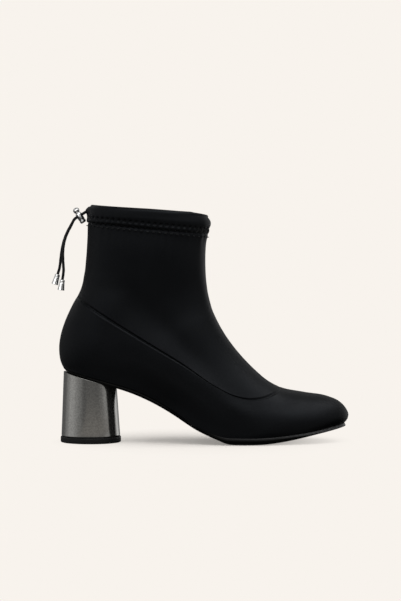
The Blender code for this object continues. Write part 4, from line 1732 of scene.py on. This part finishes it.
def light_band(sky, height, turn, band, rows):
    """Light in a band between heights in degrees, graded round the boot by the rows."""
    starts, full, until, ends = [math.sin(math.radians(angle)) for angle in band]
    ramp = sky.node("ShaderNodeValToRGB", {"Fac": turn})
    ramp.color_ramp.interpolation = "EASE"
    stops = ramp.color_ramp.elements
    while len(stops) < len(rows):
        stops.new(0.5)
    for stop, (angle, light) in zip(stops, rows):
        stop.position = 0.5 + angle / 360.0
        stop.color = (light, light, light, 1.0)
    rising = sky.spread(height, starts, full, 0.0, 1.0, "SMOOTHSTEP")
    falling = sky.spread(height, until, ends, 1.0, 0.0, "SMOOTHSTEP")
    return sky.math("MULTIPLY", ramp.outputs["Color"], sky.math("MULTIPLY", rising, falling))


def studio_world(settings):
    """Plain backdrop for the camera, and graded studio light for everything else."""
    world = bpy.data.worlds.new("studio")
    bpy.context.scene.world = world
    world.use_nodes = True
    world.node_tree.nodes.clear()
    sky = Nodes(world.node_tree)
    coords = sky.node("ShaderNodeTexCoord").outputs["Generated"]
    towards = sky.split(coords)
    angle = sky.math("ARCTAN2", towards["X"], sky.math("MULTIPLY", towards["Y"], -1.0))
    turn = sky.spread(angle, -math.pi, math.pi, 0.0, 1.0)
    light = settings.fill
    for strength, band, rows in (
            (settings.low_light, LOW_BAND, LOW_TURN),
            (settings.mid_light, MID_BAND, MID_TURN),
            (settings.high_light, HIGH_BAND, HIGH_TURN)):
        added = light_band(sky, towards["Z"], turn, band, rows)
        light = sky.math("MULTIPLY_ADD", added, strength, light)
    lit = sky.node("ShaderNodeBackground", {"Color": (1.0, 1.0, 1.0, 1.0), "Strength": light})
    plain = sky.node("ShaderNodeBackground", {"Color": (*settings.backdrop, 1.0)})
    seen = sky.node("ShaderNodeLightPath").outputs["Is Camera Ray"]
    sky.node("ShaderNodeOutputWorld", {"Surface": sky.mix(seen, lit, plain).outputs[0]})


def floor_finish(settings):
    """Pale floor with a soft shadow near the boot; all but the camera see only its near glow, and a
    black patch of painted shadow under the arch.
    """
    floor = Finish("studio_floor", {})
    pale = (*settings.backdrop, 1.0)
    length = floor.node("ShaderNodeVectorMath", {0: floor.object_coords}, operation="LENGTH")
    away = length.outputs["Value"]
    white = tuple(FLOOR_ALBEDO * channel for channel in pale)
    matt = floor.node("ShaderNodeBsdfDiffuse", {"Color": white})
    glow = floor.node("ShaderNodeEmission", {"Color": pale, "Strength": 1.0})
    far = floor.spread(away, SHADOW_NEAR, SHADOW_FAR, FLOOR_LIGHT_SHARE, 1.0)
    shown = floor.mix(far, matt, glow)
    bounce = floor.node("ShaderNodeEmission", {"Color": pale, "Strength": FLOOR_BOUNCE})
    clear = floor.node("ShaderNodeBsdfTransparent")
    place = floor.split(floor.object_coords)
    open_far = floor.spread(away, BOUNCE_NEAR, BOUNCE_FAR, 0.0, 1.0)
    open_left = floor.spread(place["X"], *BOUNCE_LEFT, 1.0, 0.0)
    towards_toe = floor.math("MAXIMUM", floor.math("SUBTRACT", place["X"], BOUNCE_TOE), 0.0)
    nearer = floor.math("SUBTRACT", place["Y"], towards_toe)
    open_under = floor.spread(nearer, *BOUNCE_FRONT, 0.0, 1.0)
    open_share = floor.math("MAXIMUM", floor.math("MAXIMUM", open_far, open_left), open_under)
    # Painted shadow: under the arch, rays other than the camera's meet a black floor instead of the
    # clear one
    ahead = floor.spread(place["X"], *ARCH_BACK, 0.0, 1.0)
    within = floor.spread(floor.math("ABSOLUTE", place["Y"]), *ARCH_SIDE, 1.0, 0.0)
    near = floor.math("SUBTRACT", 1.0, open_far)
    arch = floor.math("MULTIPLY", floor.math("MULTIPLY", ahead, within), near)
    shade_under = floor.node("ShaderNodeEmission", {"Strength": 0.0})
    hidden = floor.mix(arch, floor.mix(open_share, bounce, clear), shade_under)
    seen = floor.node("ShaderNodeLightPath").outputs["Is Camera Ray"]
    surface = floor.mix(seen, hidden, shown)
    floor.tree.links.new(surface.outputs[0], floor.tree.nodes["Material Output"].inputs["Surface"])
    floor.tree.nodes.remove(floor.shader)
    return floor.material


class BOOT_OT_stage(bpy.types.Operator):
    """Makes the camera, the pale floor and the studio light"""
    bl_idname = "boot.stage"
    bl_label = "Make the stage"

    def execute(self, context):
        settings = context.scene.boot_stage
        scene = context.scene
        scene.view_settings.view_transform = "Standard"
        data = bpy.data.cameras.new("camera")
        scene.camera = add_object("camera", data)
        away = stand(scene.camera, CAMERA_PLACE, CAMERA_AIM)
        data.sensor_width = SENSOR
        data.lens = SENSOR * away / PIXEL / IMAGE_HEIGHT
        corners = [(-FLOOR_HALF, -FLOOR_HALF), (FLOOR_HALF, -FLOOR_HALF),
                   (FLOOR_HALF, FLOOR_HALF), (-FLOOR_HALF, FLOOR_HALF)]
        mesh = new_mesh("floor", [(x, y, 0.0) for x, y in corners], [(0, 1, 2, 3)])
        mesh.materials.append(floor_finish(settings))
        add_object("floor", mesh)
        studio_world(settings)
        return {"FINISHED"}


# Add-on

SETTINGS = {
    "boot_upper": BootUpperSettings,
    "boot_sole": BootSoleSettings,
    "boot_heel": BootHeelSettings,
    "boot_cord": BootCordSettings,
    "boot_stage": BootStageSettings,
}
OPERATORS = (
    BOOT_OT_stage,
    BOOT_OT_drawcord,
    BOOT_OT_upper,
    BOOT_OT_stitches,
    BOOT_OT_outsole,
    BOOT_OT_insole,
    BOOT_OT_heel,
)


class BOOT_PT_pieces(bpy.types.Panel):
    """Lists the boot's pieces and their settings"""
    bl_idname = "BOOT_PT_pieces"
    bl_label = "Stretch boot"
    bl_space_type = "VIEW_3D"
    bl_region_type = "UI"
    bl_category = "Boot"

    def draw(self, context):
        for operator in OPERATORS:
            self.layout.operator(operator.bl_idname)
        for name, group in SETTINGS.items():
            box = self.layout.box()
            for key in group.__annotations__:
                box.prop(getattr(context.scene, name), key)


def register():
    """Registers the settings, the operators and the panel."""
    for name, group in SETTINGS.items():
        bpy.utils.register_class(group)
        setattr(bpy.types.Scene, name, PointerProperty(type=group))
    for operator in OPERATORS:
        bpy.utils.register_class(operator)
    bpy.utils.register_class(BOOT_PT_pieces)


def unregister():
    """Takes the settings, the operators and the panel away again."""
    bpy.utils.unregister_class(BOOT_PT_pieces)
    for operator in reversed(OPERATORS):
        bpy.utils.unregister_class(operator)
    for name, group in SETTINGS.items():
        delattr(bpy.types.Scene, name)
        bpy.utils.unregister_class(group)


def main():
    """Makes every piece."""
    register()
    bpy.ops.boot.stage()
    bpy.ops.boot.drawcord()
    bpy.ops.boot.upper()
    bpy.ops.boot.stitches()
    bpy.ops.boot.outsole()
    bpy.ops.boot.insole()
    bpy.ops.boot.heel()


if __name__ == "__main__":
    main()
